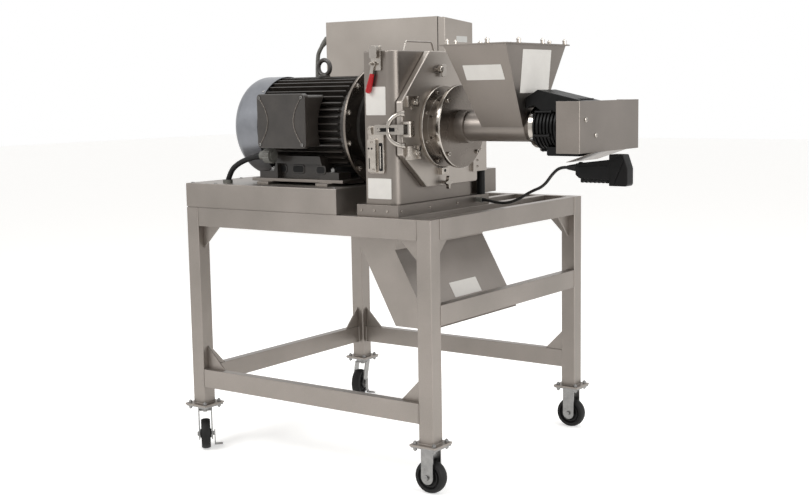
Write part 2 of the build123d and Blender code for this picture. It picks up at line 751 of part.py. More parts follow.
# Door plate with the hinge plate and its knuckle on the far side
feed_bore_radius = tube_radius - feed_tube_wall
hinge_plate_x = door_face_x
hinge_plate_thickness = 12.0
hinge_plate_bottom = table_height + 141.5
hinge_plate_height = 117.0
knob_stem_radius = 6.0
knob_stem_depth = 14.0
star_knob_place = (mill_y, table_height + 113.0)
round_knob_place = (mill_y - 32.0, table_height + 540.0)
knob_places = (star_knob_place, round_knob_place)
with BuildPart() as door_plate:
    with BuildSketch(end_plane(door_back_x, mill_y, mill_z)):
        with BuildLine():
            top = housing_top - mill_z
            bottom = door_bottom - mill_z
            Polyline((-door_half_width, door_vertex_half_height), (-door_top_half_width, top),
                     (door_half_width - 14.0, top), (door_half_width - 14.0, bottom), (-104.0, bottom),
                     (-door_half_width, -door_vertex_half_height), close=True)
        make_face()
        fillet(vertices(), 12.0)
        Circle(feed_bore_radius, mode=Mode.SUBTRACT)
    extrude(amount=door_thickness)
    chamfer(door_plate.faces().sort_by(Axis.X)[-1].outer_wire().edges(), 3.0)
    for y, z in knob_places:
        with BuildSketch(end_plane(door_face_x, y, z)):
            Circle(knob_stem_radius + shaft_clearance)
        extrude(amount=-knob_stem_depth, mode=Mode.SUBTRACT)
    with BuildSketch(Plane(origin=(hinge_x, hinge_y, hinge_plate_bottom))):
        Circle(hinge_knuckle_radius)
        with BuildLine():
            reach = hinge_plate_x + hinge_plate_thickness - hinge_x
            Polyline((0, hinge_knuckle_radius), (reach, hinge_knuckle_radius - 10.0), (reach, -91.0),
                     (reach - hinge_plate_thickness, -91.0), (reach - hinge_plate_thickness, -20.0),
                     (-8.0, -13.0), close=True)
        make_face()
        Circle(hinge_pin_radius + hinge_pin_clearance, mode=Mode.SUBTRACT)
    extrude(amount=hinge_plate_height)
save(door_plate.part, "door_plate")

with BuildPart() as hinge_post:
    with BuildSketch(Plane(origin=(hinge_x, hinge_y, housing_bottom))):
        Circle(hinge_knuckle_radius)
    extrude(amount=hinge_plate_bottom - 0.5 - housing_bottom)
    with BuildSketch(Plane(origin=(hinge_x, hinge_y, hinge_plate_bottom - 1.0))):
        Circle(hinge_pin_radius)
    extrude(amount=hinge_plate_height + 8.0)
save(hinge_post.part, "hinge_post")

# Grinding discs: radial grooves leave the teeth on the facing sides
groove_depth = 4.0
groove_length = 84.0


def cut_teeth(plane, twist):
    with BuildSketch(plane) as grooves:
        with PolarLocations(disc_radius - groove_length / 2 + 4.0, disc_teeth):
            Rectangle(groove_length, 9.0, rotation=twist)
    extrude(grooves.sketch, amount=-groove_depth, mode=Mode.SUBTRACT)


with BuildPart() as rotating_disc:
    with BuildSketch(end_plane(hub_x, mill_y, mill_z)):
        Circle(48.0)
    extrude(amount=hub_thickness)
    with BuildSketch(end_plane(rotating_disc_x, mill_y, mill_z)):
        Circle(disc_radius)
    extrude(amount=disc_thickness)
    with BuildSketch(end_plane(hub_x, mill_y, mill_z)):
        Circle(22.0)
    extrude(amount=hub_thickness + disc_thickness, mode=Mode.SUBTRACT)
    cut_teeth(end_plane(rotating_disc_x + disc_thickness, mill_y, mill_z), 10.0)
save(rotating_disc.part, "rotating_disc")

with BuildPart() as fixed_disc:
    with BuildSketch(end_plane(fixed_disc_x, mill_y, mill_z)):
        Circle(disc_radius)
        Circle(feed_bore_radius, mode=Mode.SUBTRACT)
    extrude(amount=disc_thickness)
    cut_teeth(Plane(origin=(fixed_disc_x, mill_y, mill_z), x_dir=(0, 1, 0), z_dir=(-1, 0, 0)), 10.0)
save(fixed_disc.part, "fixed_disc")

# Feed neck with its ring on the door and the plate that carries the tube
with BuildPart() as feed_flange:
    with BuildSketch(mill_section):
        with BuildLine():
            Polyline((door_face_x, feed_bore_radius), (door_face_x, ring_radius - 2.0), (door_face_x + 2.0, ring_radius),
                     (ring_face_x - 2.0, ring_radius), (ring_face_x, ring_radius - 2.0),
                     (ring_face_x, neck_radius), (feed_plate_x, neck_radius),
                     (feed_plate_x, feed_plate_radius), (tube_start_x - 3.0, feed_plate_radius),
                     (tube_start_x, feed_plate_radius - 3.0), (tube_start_x, feed_bore_radius), close=True)
        make_face()
    revolve(axis=mill_axis)
save(feed_flange.part, "feed_flange")

hopper_back_x = table_x + 675.0
hopper_front_x = hopper_back_x + hopper_bottom_length
collar_radius = tube_radius + 8.0
with BuildPart() as feed_tube:
    with BuildSketch(mill_section):
        with BuildLine():
            Polyline((tube_start_x, feed_bore_radius), (tube_start_x, collar_radius),
                     (tube_start_x + 40.0, collar_radius), (tube_start_x + 40.0, tube_radius),
                     (tube_end_x, tube_radius), (cone_end_x, cone_radius),
                     (cone_end_x, feed_bore_radius), close=True)
        make_face()
    revolve(axis=mill_axis)
    with Locations(((hopper_back_x + hopper_front_x) / 2, mill_y, mill_z + 12.0)):
        Box(hopper_bottom_length - 2 * hopper_wall - 2.0, 2 * tube_radius + 2.0, tube_radius + 2.0,
            align=(Align.CENTER, Align.CENTER, Align.MIN), mode=Mode.SUBTRACT)
save(feed_tube.part, "feed_tube")

# Feed hopper: a lofted box with a rim, seated on the tube
hopper_top_x = table_x + hopper_start + hopper_top_length / 2
hopper_bottom_x = (hopper_back_x + hopper_front_x) / 2
hopper_bottom_width = 2 * tube_radius + 2 * hopper_wall
hopper_height = hopper_top_z - mill_z
with BuildPart() as feed_hopper:
    with BuildSketch(Plane(origin=(hopper_bottom_x, mill_y, mill_z))):
        Rectangle(hopper_bottom_length, hopper_bottom_width)
    with BuildSketch(Plane(origin=(hopper_top_x, mill_y, hopper_top_z))):
        Rectangle(hopper_top_length - 20.0, hopper_top_width - 20.0)
    loft()
    with BuildSketch(Plane(origin=(hopper_bottom_x, mill_y, mill_z))):
        Rectangle(hopper_bottom_length - 2 * hopper_wall, hopper_bottom_width - 2 * hopper_wall)
    with BuildSketch(Plane(origin=(hopper_top_x, mill_y, hopper_top_z))):
        Rectangle(hopper_top_length - 20.0 - 2 * hopper_wall, hopper_top_width - 20.0 - 2 * hopper_wall)
    loft(mode=Mode.SUBTRACT)
    with BuildSketch(Plane(origin=(hopper_top_x, mill_y, hopper_top_z - 5.0))):
        Rectangle(hopper_top_length, hopper_top_width)
        Rectangle(hopper_top_length - 26.0, hopper_top_width - 26.0, mode=Mode.SUBTRACT)
    extrude(amount=5.0)
    with BuildSketch(mill_section):
        with BuildLine():
            Polyline((tube_start_x, 0), (tube_start_x, tube_radius), (tube_end_x, tube_radius),
                     (cone_end_x, cone_radius), (cone_end_x, 0), close=True)
        make_face()
    revolve(axis=mill_axis, mode=Mode.SUBTRACT)
save(feed_hopper.part, "feed_hopper")

# Feed screw
auger_radius = feed_bore_radius - auger_clearance
auger_start_x = door_back_x + 2.0
flight_turns = 5
flight_length = flight_turns * auger_pitch
auger_end_x = cone_end_x + 20.0
flight_middle = (auger_radius + auger_shaft_radius) / 2
with BuildPart() as feed_auger:
    with BuildLine() as screw_line:
        Helix(pitch=auger_pitch, height=flight_length, radius=flight_middle,
              center=(auger_start_x, mill_y, mill_z), direction=(1, 0, 0))
    screw_start = screw_line.line @ 0
    outward = screw_start - Vector(auger_start_x, mill_y, mill_z)
    with BuildSketch(Plane(origin=screw_start, x_dir=outward, z_dir=screw_line.line % 0)):
        Rectangle(auger_radius - auger_shaft_radius + 2.0, flight_thickness)
    sweep(is_frenet=True)
    with BuildSketch(end_plane(auger_start_x - 6.0, mill_y, mill_z)):
        Circle(auger_shaft_radius)
    extrude(amount=auger_end_x - auger_start_x + 6.0)
save(feed_auger.part, "feed_auger")

# Geared motor behind the tube
gear_start_x = cone_end_x
gear_radius = 82.0
with BuildPart() as gear_motor:
    with BuildSketch(mill_section):
        with BuildLine():
            end = table_x + 1146.0
            Polyline((gear_start_x, auger_shaft_radius + shaft_clearance), (gear_start_x, 92.0),
                     (gear_start_x + 18.0, 92.0),
                     (gear_start_x + 18.0, gear_radius), (gear_start_x + 110.0, gear_radius),
                     (gear_start_x + 110.0, 74.0),
                     (end - 8.0, 74.0), (end, 66.0), (end, 0), (auger_end_x + 2.0, 0),
                     (auger_end_x + 2.0, auger_shaft_radius + shaft_clearance), close=True)
        make_face()
    revolve(axis=mill_axis)
    with Locations((gear_start_x + 62.0, mill_y, mill_z - 100.0)):
        Box(88.0, 120.0, 40.0)
save(gear_motor.part, "gear_motor")

# Sheet guard over the geared motor
guard_back_x = table_x + 955.0
guard_plate_x = table_x + 1157.0
guard_front_y = mill_y - 212.0 - 4.0
guard_width = 464.0
guard_bottom = table_height + 240.0
with BuildPart() as drive_guard:
    with BuildSketch(side_plane(guard_front_y)):
        with BuildLine():
            Polyline((guard_plate_x, guard_bottom), (guard_plate_x, guard_bottom + 177.0),
                     (table_x + 998.0, guard_bottom + 219.0), (guard_back_x, guard_bottom + 192.0),
                     (guard_back_x, guard_bottom + 143.0))
        trace(line_width=sheet)
    extrude(amount=-guard_width)
    for y in (guard_front_y, guard_front_y + guard_width - sheet):
        with BuildSketch(side_plane(y)):
            with Locations((guard_plate_x - 43.0, guard_bottom + 84.0)):
                RectangleRounded(88.0, 168.0, 10.0)
        extrude(amount=-sheet)
    with BuildSketch(side_plane(guard_front_y + 60.0)):
        with BuildLine():
            Polyline((guard_plate_x - 1.0, guard_bottom - 2.0), (guard_plate_x - 150.0, guard_bottom - 46.0))
        trace(line_width=sheet)
    extrude(amount=-120.0)
    with BuildSketch(end_plane(guard_back_x - sheet, mill_y, mill_z)):
        Circle(gear_radius + 4.0)
    extrude(amount=2 * sheet, mode=Mode.SUBTRACT)
save(drive_guard.part, "drive_guard")

# Connector under the guard
connector_y = mill_y - 12.0
connector_z = table_height + 176.0
connector_front_x = feeder_reach + table_x
with BuildPart() as drive_connector:
    with BuildSketch(side_plane(connector_y - 26.0)):
        with BuildLine():
            Polyline((connector_front_x - 232.0, connector_z + 20.0), (connector_front_x - 90.0, connector_z + 35.0),
                     (connector_front_x - 90.0, connector_z - 35.0), (connector_front_x - 210.0, connector_z - 30.0),
                     (connector_front_x - 232.0, connector_z - 8.0), close=True)
        make_face()
    extrude(amount=-52.0)
    with BuildSketch(side_plane(connector_y - 34.0)):
        with BuildLine():
            Polyline((connector_front_x - 92.0, connector_z - 42.0), (connector_front_x - 8.0, connector_z - 57.0),
                     (connector_front_x, connector_z - 48.0), (connector_front_x, connector_z + 60.0),
                     (connector_front_x - 92.0, connector_z + 60.0), close=True)
        make_face()
    extrude(amount=-68.0)
    with BuildSketch(end_plane(connector_front_x - 258.0, connector_y, connector_z + 6.0)):
        Circle(12.0)
    extrude(amount=30.0)
save(drive_connector.part, "drive_connector")

# Control enclosure on the cross rails, with its door towards the feeder
enclosure_end_x = enclosure_left + enclosure_length
enclosure_far_y = enclosure_front_y + enclosure_depth
enclosure_hinge_x = enclosure_end_x + enclosure_door_gap / 2
enclosure_hinge_y = enclosure_far_y + 7.0
hinge_heights = (table_height + 120.0, table_height + 600.0)
hinge_half = 25.0
with BuildPart() as enclosure_body:
    with BuildSketch(end_plane(enclosure_left)):
        with BuildLine():
            Polyline((enclosure_front_y, table_height), (enclosure_far_y, table_height),
                     (enclosure_far_y, enclosure_top_back), (enclosure_front_y, enclosure_top_front), close=True)
        make_face()
    extrude(amount=enclosure_length)
    offset(amount=-2.0, openings=enclosure_body.faces().sort_by(Axis.X)[-1])
    for z in hinge_heights:
        with BuildSketch(Plane(origin=(enclosure_hinge_x, enclosure_hinge_y, z))):
            Circle(6.0)
            with Locations((-9.0, -3.5)):
                Rectangle(14.0, 9.0)
        extrude(amount=hinge_half)
        with BuildSketch(Plane(origin=(enclosure_hinge_x, enclosure_hinge_y, z))):
            Circle(3.0)
        extrude(amount=2 * hinge_half)
save(enclosure_body.part, "enclosure_body")

door_start_x = enclosure_end_x + enclosure_door_gap
with BuildPart() as enclosure_door:
    with BuildSketch(end_plane(door_start_x)):
        with BuildLine():
            drop = (enclosure_top_front - enclosure_top_back) / enclosure_depth * 3.0
            Polyline((enclosure_front_y + 3.0, table_height + 6.0), (enclosure_far_y - 3.0, table_height + 6.0),
                     (enclosure_far_y - 3.0, enclosure_top_back - 4.0),
                     (enclosure_front_y + 3.0, enclosure_top_front - 4.0 - drop), close=True)
        make_face()
    extrude(amount=enclosure_door_thickness)
    fillet(enclosure_door.faces().sort_by(Axis.X)[-1].edges(), 4.0)
    for z in hinge_heights:
        with BuildSketch(Plane(origin=(enclosure_hinge_x, enclosure_hinge_y, z + hinge_half + 0.5))):
            Circle(6.0)
            with Locations((3.5, -7.0)):
                Rectangle(4.0, 10.0)
            Circle(3.0 + shaft_clearance, mode=Mode.SUBTRACT)
        extrude(amount=hinge_half)
save(enclosure_door.part, "enclosure_door")

# Knobs on the door, each with its stem in a bored hole
with BuildPart() as star_knob:
    star_y, star_z = star_knob_place
    with BuildSketch(end_plane(door_face_x + 18.0, star_y, star_z)):
        Circle(12.0)
        with PolarLocations(0, 4, start_angle=0):
            with Locations((13.0, 0)):
                Ellipse(12.0, 5.5)
    extrude(amount=14.0)
    with BuildSketch(end_plane(door_face_x - knob_stem_depth + 1.0, star_y, star_z)):
        Circle(knob_stem_radius)
    extrude(amount=knob_stem_depth + 20.0)
save(star_knob.part, "star_knob")

with BuildPart() as round_knob:
    round_y, round_z = round_knob_place
    with BuildSketch(end_plane(door_face_x - knob_stem_depth + 1.0, round_y, round_z)):
        Circle(knob_stem_radius)
    extrude(amount=knob_stem_depth + 14.0)
    with BuildSketch(end_plane(door_face_x + 12.0, round_y, round_z)):
        Circle(13.0)
    extrude(amount=18.0)
    fillet(round_knob.edges().filter_by(GeomType.CIRCLE).sort_by(Axis.X)[-1], 6.0)
save(round_knob.part, "round_knob")

# Door latch: lugs and pin on the door, and an arm that reaches back along the housing
latch_pin_x = table_x + 485.0
latch_pin_y = housing_front_y + 18.0
latch_z = mill_z - 3.0
latch_height = 36.0
latch_pin_radius = 6.0
lug_thickness = 10.0
with BuildPart() as door_brackets:
    for z in (latch_z - latch_height / 2 - lug_thickness - 0.5, latch_z + latch_height / 2 + 0.5):
        with BuildSketch(Plane(origin=(latch_pin_x, latch_pin_y, z))):
            Circle(11.0)
            with Locations(((door_face_x - latch_pin_x) / 2, 0)):
                Rectangle(latch_pin_x - door_face_x, 22.0)
        extrude(amount=lug_thickness)
    with BuildSketch(Plane(origin=(latch_pin_x, latch_pin_y, latch_z - latch_height / 2 - lug_thickness))):
        Circle(latch_pin_radius)
    extrude(amount=latch_height + 2 * lug_thickness)
    with Locations((door_face_x + 3.0, latch_pin_y + 26.0, latch_z)):
        Box(6.0, 74.0, latch_height + 2 * lug_thickness + 1.0)
    with Locations((door_face_x + 6.0, mill_y - 203.0, table_height + 424.0)):
        Box(12.0, 70.0, 40.0)
    with Locations((door_face_x + 7.0, mill_y - 206.0, table_height + 236.0)):
        Box(14.0, 76.0, 50.0)
    with Locations((door_face_x + 10.0, mill_y - 206.0, table_height + 236.0)):
        with GridLocations(0, 60.0, 1, 2):
            Box(20.0, 14.0, 50.0)
    with Locations((door_face_x + 10.0, mill_y - 10.0, table_height + 157.0)):
        Box(20.0, 48.0, 26.0)
save(door_brackets.part, "door_brackets")

arm_thickness = 12.0
arm_bend = (latch_pin_x - 9.0, latch_pin_y - 24.0)
arm_knee = (latch_pin_x - 45.0, latch_pin_y - 42.0)
arm_end = (latch_pin_x - 119.0, latch_pin_y - 45.0)
bow_radius = 58.0
bow_rod_radius = 6.5
arm_run = Vector(arm_knee[0] - arm_bend[0], arm_knee[1] - arm_bend[1], 0).normalized()
arm_side = arm_run.cross(Vector(0, 0, 1))
with BuildPart() as latch_arm:
    with BuildSketch(Plane.XY.offset(latch_z - latch_height / 2)):
        with BuildLine():
            Polyline((latch_pin_x, latch_pin_y), arm_bend, arm_knee, arm_end)
        trace(line_width=arm_thickness)
        with Locations((latch_pin_x, latch_pin_y)):
            Circle(11.0)
            Circle(latch_pin_radius + shaft_clearance, mode=Mode.SUBTRACT)
    extrude(amount=latch_height)
    bow_middle = Vector(arm_bend[0] + 2.0, arm_bend[1] - 2.0, latch_z)
    with BuildSketch(Plane(origin=bow_middle + Vector(0, 0, bow_radius), x_dir=(0, 0, 1), z_dir=arm_run)):
        Circle(bow_rod_radius)
    revolve(axis=Axis(bow_middle, arm_side * -1), revolution_arc=180)
save(latch_arm.part, "latch_arm")

# Interlock box and toggle clamp on the operator's side of the housing
with BuildPart() as door_interlock:
    with BuildSketch(side_plane(housing_front_y, table_x + 346.0, mill_z - 77.5)):
        RectangleRounded(88.0, 179.0, 10.0)
    extrude(amount=15.0)
    with BuildSketch(side_plane(housing_front_y - 15.0, table_x + 327.0, mill_z - 87.0)):
        RectangleRounded(50.0, 152.0, 6.0)
    extrude(amount=15.0)
save(door_interlock.part, "door_interlock")

clamp_x = table_x + 350.0
clamp_z = table_height + 562.0
clamp_pin_radius = 5.0
clamp_gap = 0.5
with BuildPart() as toggle_clamp_base:
    with BuildSketch(side_plane(housing_front_y, table_x + 358.5, table_height + 583.5)):
        RectangleRounded(45.0, 91.0, 4.0)
    extrude(amount=8.0)
    with BuildSketch(side_plane(housing_front_y - 7.0, table_x + 363.0, table_height + 604.0)):
        RectangleRounded(32.0, 44.0, 5.0)
    extrude(amount=24.0)
    with BuildSketch(side_plane(housing_front_y - 7.0, clamp_x, clamp_z)):
        Circle(clamp_pin_radius)
    extrude(amount=26.0)
save(toggle_clamp_base.part, "toggle_clamp_base")

lever_front_y = housing_front_y - 8.0 - clamp_gap - 8.0
lever_lean = math.degrees(math.atan2(13.0, 60.0))
lever_frame = Plane(
    origin=(clamp_x, lever_front_y, clamp_z),
    x_dir=(math.cos(math.radians(lever_lean)), 0, -math.sin(math.radians(lever_lean))),
    z_dir=(0, -1, 0),
)
lever_length = 106.0
grip_length = 74.0
with BuildPart() as clamp_lever:
    with BuildSketch(lever_frame):
        with Locations((0, -lever_length / 2)):
            Rectangle(14.0, lever_length)
        Circle(11.0)
        Circle(clamp_pin_radius + shaft_clearance, mode=Mode.SUBTRACT)
    extrude(amount=-8.0)
save(clamp_lever.part, "clamp_lever")

with BuildPart() as clamp_grip:
    with BuildSketch(lever_frame.offset(6.0)):
        with Locations((0, -lever_length - 4.0 + grip_length / 2)):
            RectangleRounded(24.0, grip_length, 9.0)
    extrude(amount=-20.0)
    fillet(clamp_grip.edges().filter_by(Plane.XZ), 5.0)
    with BuildSketch(lever_frame):
        with Locations((0, -lever_length / 2)):
            Rectangle(14.0, lever_length)
    extrude(amount=-8.0, mode=Mode.SUBTRACT)
save(clamp_grip.part, "clamp_grip")

# Rod handle on top of the housing
handle_x = table_x + 370.0
handle_top = housing_top + 38.0
handle_foot = housing_top + 2.0
with BuildPart() as lift_handle:
    with BuildLine() as handle_line:
        FilletPolyline((handle_x, mill_y - 120.0, handle_foot), (handle_x, mill_y - 104.0, handle_top),
                       (handle_x, mill_y + 66.0, handle_top), (handle_x, mill_y + 84.0, handle_foot), radius=12.0)
    with BuildSketch(Plane(origin=handle_line.line @ 0, z_dir=handle_line.line % 0)):
        Circle(3.5)
    sweep()
    with Locations((handle_x, mill_y - 120.0, housing_top + 1.5), (handle_x, mill_y + 84.0, housing_top + 1.5)):
        Cylinder(8.0, 3.0)
save(lift_handle.part, "lift_handle")

# Junction box behind the hinge
with BuildPart() as junction_box:
    with BuildSketch(Plane(origin=(table_x + 385.0, table_y + 113.0, housing_bottom))):
        RectangleRounded(80.0, 138.0, 5.0)
    extrude(amount=96.0)
    fillet(junction_box.faces().sort_by(Axis.Z)[-1].edges(), 2.0)
save(junction_box.part, "junction_box")

# Glands: under the terminal box, on the base, on the plinth, and at both ends of the conduit
motor_gland_y = box_front_y + 22.0
motor_gland_z = table_height + 216.0
motor_gland_x = table_x - 250.0
base_gland = (table_x - 441.0, motor_gland_y)
plinth_gland = (plinth_front_x, mill_y + 248.0, table_height + 26.0)
conduit_gland = (enclosure_left, enclosure_front_y + 25.0, table_height + 700.0)
conduit_low = (table_x - 540.0, base_front_y + base_width, table_height + 54.0)
bend_plane = Plane(origin=(conduit_gland[0] - 18.0, conduit_gland[1], conduit_gland[2]),
                   x_dir=(0, 1, 0), z_dir=(-1, 0, -1))
with BuildPart() as cable_glands:
    with BuildSketch(end_plane(motor_gland_x, motor_gland_y, motor_gland_z)):
        Circle(18.0)
    extrude(amount=64.0)
    with Locations((motor_gland_x + 44.0, motor_gland_y, motor_gland_z)):
        Cylinder(15.0, box_z - terminal_box_height / 2 - motor_gland_z, align=(Align.CENTER, Align.CENTER, Align.MIN))
    with Locations((*base_gland, base_top)):
        Cylinder(20.0, 14.0, align=(Align.CENTER, Align.CENTER, Align.MIN))
    with BuildSketch(end_plane(*plinth_gland)):
        Circle(9.5)
    extrude(amount=23.0)
    with BuildSketch(end_plane(*conduit_gland)):
        Circle(14.0)
    extrude(amount=-22.0)
    with BuildSketch(bend_plane):
        Circle(13.0)
    extrude(amount=16.0)
    with BuildSketch(Plane(origin=conduit_low, x_dir=(1, 0, 0), z_dir=(0, 1, 0))):
        Circle(14.0)
    extrude(amount=14.0)
save(cable_glands.part, "cable_glands")


def run_cord(points, diameter, label):
    # Straight runs joined by tangent arcs; each radius follows from its shorter run and its turn.
    radii = []
    length = 0.0
    for before, corner, after in zip(points, points[1:], points[2:]):
        arrive = Vector(*corner) - Vector(*before)
        leave = Vector(*after) - Vector(*corner)
        half_turn = math.radians(arrive.get_angle(leave)) / 2
        radii.append(0.45 * min(arrive.length, leave.length) / math.tan(half_turn))
    with BuildPart() as cord:
        with BuildLine() as route:
            FilletPolyline(*points, radius=radii)
        length = sum(edge.length for edge in route.line.edges())
        with BuildSketch(Plane(origin=route.line @ 0, z_dir=route.line % 0)):
            Circle(diameter / 2)
        sweep()
    section = math.pi * diameter**2 / 4
    print(label, "radii", [round(r) for r in radii], "volume ratio", round(cord.part.volume / section / length, 3))
    save(cord.part, label)


drive_cord_diameter = 11.5
motor_cable_diameter = 22.0
conduit_diameter = 19.0
drive_cord_start = (plinth_gland[0] + 23.0, plinth_gland[1], plinth_gland[2])
drive_cord_end = (connector_front_x - 258.0, connector_y, connector_z + 6.0)
drive_route = [
    drive_cord_start,
    (drive_cord_start[0] + 24.0, drive_cord_start[1], drive_cord_start[2]),
    (table_x + 540.0, table_y - 22.0, 1039.0),
    (table_x + 600.0, table_y - 36.0, 1037.0),
    (table_x + 680.0, table_y - 78.0, 1057.0),
    (table_x + 765.0, table_y - 125.0, 1096.0),
    (table_x + 850.0, table_y - 173.0, 1134.0),
    (table_x + 938.7, table_y - 267.8, 1194.5),
    (drive_cord_end[0] - 28.0, drive_cord_end[1], drive_cord_end[2]),
    drive_cord_end,
]
run_cord(drive_route, drive_cord_diameter, "drive_cord")
motor_route = [
    (motor_gland_x, motor_gland_y, motor_gland_z),
    (table_x - 320.0, motor_gland_y, 1223.0),
    (table_x - 383.0, motor_gland_y, 1199.0),
    (table_x - 424.0, motor_gland_y, 1168.0),
    (base_gland[0], motor_gland_y, base_top + 4.0),
]
run_cord(motor_route, motor_cable_diameter, "motor_cable")
conduit_reach = 18.0 + 16.0 * math.sqrt(0.5)
conduit_y = conduit_gland[1]
conduit_route = [
    (conduit_gland[0] - conduit_reach, conduit_y, conduit_gland[2] - 16.0 * math.sqrt(0.5)),
    (conduit_gland[0] - conduit_reach - 30.0, conduit_y, conduit_gland[2] - 16.0 * math.sqrt(0.5) - 30.0),
    (table_x - 555.5, conduit_y, 1637.0),
    (table_x - 556.0, conduit_y - 1.0, 1430.0),
    (table_x - 552.0, conduit_y - 5.0, 1215.0),
    (conduit_low[0] - 2.0, conduit_low[1] + 125.0, conduit_low[2] + 32.0),
    (conduit_low[0], conduit_low[1] + 74.0, conduit_low[2]),
    (conduit_low[0], conduit_low[1] + 14.0, conduit_low[2]),
]
run_cord(conduit_route, conduit_diameter, "enclosure_conduit")
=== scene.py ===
import bpy
import bmesh
import json
import math
from mathutils import Matrix, Vector
from mathutils.bvhtree import BVHTree

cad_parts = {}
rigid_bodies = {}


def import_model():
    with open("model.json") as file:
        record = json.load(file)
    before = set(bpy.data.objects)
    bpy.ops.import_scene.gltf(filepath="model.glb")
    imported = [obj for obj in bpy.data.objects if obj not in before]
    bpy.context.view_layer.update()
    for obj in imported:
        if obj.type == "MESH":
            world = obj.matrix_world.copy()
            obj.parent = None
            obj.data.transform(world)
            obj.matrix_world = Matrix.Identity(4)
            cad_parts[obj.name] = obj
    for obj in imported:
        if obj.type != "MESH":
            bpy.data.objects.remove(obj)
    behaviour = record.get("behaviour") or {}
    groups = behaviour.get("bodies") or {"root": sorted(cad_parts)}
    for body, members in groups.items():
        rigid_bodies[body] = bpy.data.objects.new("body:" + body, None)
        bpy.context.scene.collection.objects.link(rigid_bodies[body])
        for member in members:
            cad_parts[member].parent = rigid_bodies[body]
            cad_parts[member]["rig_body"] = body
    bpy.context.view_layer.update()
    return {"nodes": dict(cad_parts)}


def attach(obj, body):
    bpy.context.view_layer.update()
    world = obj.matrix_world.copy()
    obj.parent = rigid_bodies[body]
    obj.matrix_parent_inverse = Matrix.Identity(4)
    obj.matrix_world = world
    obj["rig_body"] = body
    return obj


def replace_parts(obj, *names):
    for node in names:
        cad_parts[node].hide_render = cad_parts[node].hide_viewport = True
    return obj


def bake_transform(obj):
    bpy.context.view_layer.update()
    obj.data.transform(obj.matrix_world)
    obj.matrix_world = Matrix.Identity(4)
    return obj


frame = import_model()
print("frame loaded")

# Numbers below are millimetres measured from the floor under the table's middle
tableMiddle = {"x": -312.05, "y": 12.97}


def spot(x, y, z):
    return Vector((x + tableMiddle["x"], y + tableMiddle["y"], z)) / 1000


def addObject(name, data):
    piece = bpy.data.objects.new(name, data)
    bpy.context.scene.collection.objects.link(piece)
    return piece


camera = {"place": (3107.7, -4208.6, 1479.0), "yaw": -35.723, "pitch": 7.307, "roll": -0.947, "lens": 55.06}


def placeCamera():
    yaw, pitch, roll = (math.radians(camera[key]) for key in ("yaw", "pitch", "roll"))
    ahead = Vector((math.sin(yaw) * math.cos(pitch), math.cos(yaw) * math.cos(pitch), -math.sin(pitch)))
    right = Vector((math.cos(yaw), -math.sin(yaw), 0))
    up = right.cross(ahead)
    sideways = right * math.cos(roll) + up * math.sin(roll)
    upward = up * math.cos(roll) - right * math.sin(roll)
    data = bpy.data.cameras.new("viewCamera")
    data.sensor_width = 36
    data.sensor_fit = "HORIZONTAL"
    data.lens = camera["lens"]
    data.clip_end = 100
    holder = addObject("viewCamera", data)
    turn = Matrix((sideways, upward, -ahead)).transposed().to_4x4()
    holder.matrix_world = Matrix.Translation(spot(*camera["place"])) @ turn
    bpy.context.scene.camera = holder


placeCamera()


# Materials
def linearColour(hexText):
    channels = [int(hexText[i:i + 2], 16) / 255 for i in (1, 3, 5)]
    return tuple(c / 12.92 if c <= 0.04045 else ((c + 0.055) / 1.055) ** 2.4 for c in channels) + (1.0,)


def addNode(tree, kind, settings=None, links=None):
    node = tree.nodes.new(kind)
    for key, value in (settings or {}).items():
        if key in node.inputs:
            node.inputs[key].default_value = value
        else:
            setattr(node, key, value)
    for key, source in (links or {}).items():
        tree.links.new(source, node.inputs[key])
    return node


def surface(name, dark, light, rough, blotch, grain, bump, shader=None):
    # Mottled colour, uneven gloss and a fine bump; blotch and grain are sizes in real millimetres
    material = bpy.data.materials.new(name)
    material.use_nodes = True
    tree = material.node_tree
    principled = tree.nodes["Principled BSDF"]
    for key, value in (shader or {"Metallic": 1.0}).items():
        principled.inputs[key].default_value = value
    where = addNode(tree, "ShaderNodeTexCoord").outputs["Object"]

    def noise(size, detail):
        settings = {"Scale": 1000 / size, "Detail": detail}
        return addNode(tree, "ShaderNodeTexNoise", settings, {"Vector": where}).outputs["Fac"]

    patches, cuts = noise(blotch, 4.0), noise(grain, 2.0)
    mixed = addNode(tree, "ShaderNodeMix", {"data_type": "FLOAT", "Factor": 0.35}, {"A": patches, "B": cuts})
    ramp = addNode(tree, "ShaderNodeValToRGB", {}, {"Fac": mixed.outputs["Result"]})
    for element, place, colour in zip(ramp.color_ramp.elements, (0.36, 0.64), (dark, light)):
        element.position = place
        element.color = linearColour(colour)
    gloss = addNode(tree, "ShaderNodeMapRange", {"From Min": 0.3, "From Max": 0.7, "To Min": rough[0],
                                                 "To Max": rough[1]}, {"Value": patches})
    relief = addNode(tree, "ShaderNodeBump", {"Strength": bump, "Distance": grain / 4000}, {"Height": cuts})
    for socket, source in (("Base Color", ramp.outputs["Color"]), ("Roughness", gloss.outputs["Result"]),
                           ("Normal", relief.outputs["Normal"])):
        tree.links.new(source, principled.inputs[socket])
    return material


# Bead-blasted 304 stainless sheet and tube of the mill head: a soft, warm grey sheen, coloured darker than
# the frame's steel as painted shade for the darker reflections on the head, its fine grit drawn at 1.6 mm
blastedStainlessPaintedShade = surface(
    "blastedStainlessPaintedShade", "#76706a", "#847d77", rough=(0.34, 0.42), blotch=260, grain=1.6, bump=0.10)
# Enclosure sheet, brushed finer than the mill: lighter, with the same warm grey
enclosureStainless = surface(
    "enclosureStainless", "#979089", "#a39c95", rough=(0.38, 0.46), blotch=300, grain=1.6, bump=0.08)
# The same steel on the frame, a little duller from welding and wiping down
frameStainless = surface(
    "frameStainless", "#86807a", "#948d87", rough=(0.38, 0.47), blotch=240, grain=1.6, bump=0.12)
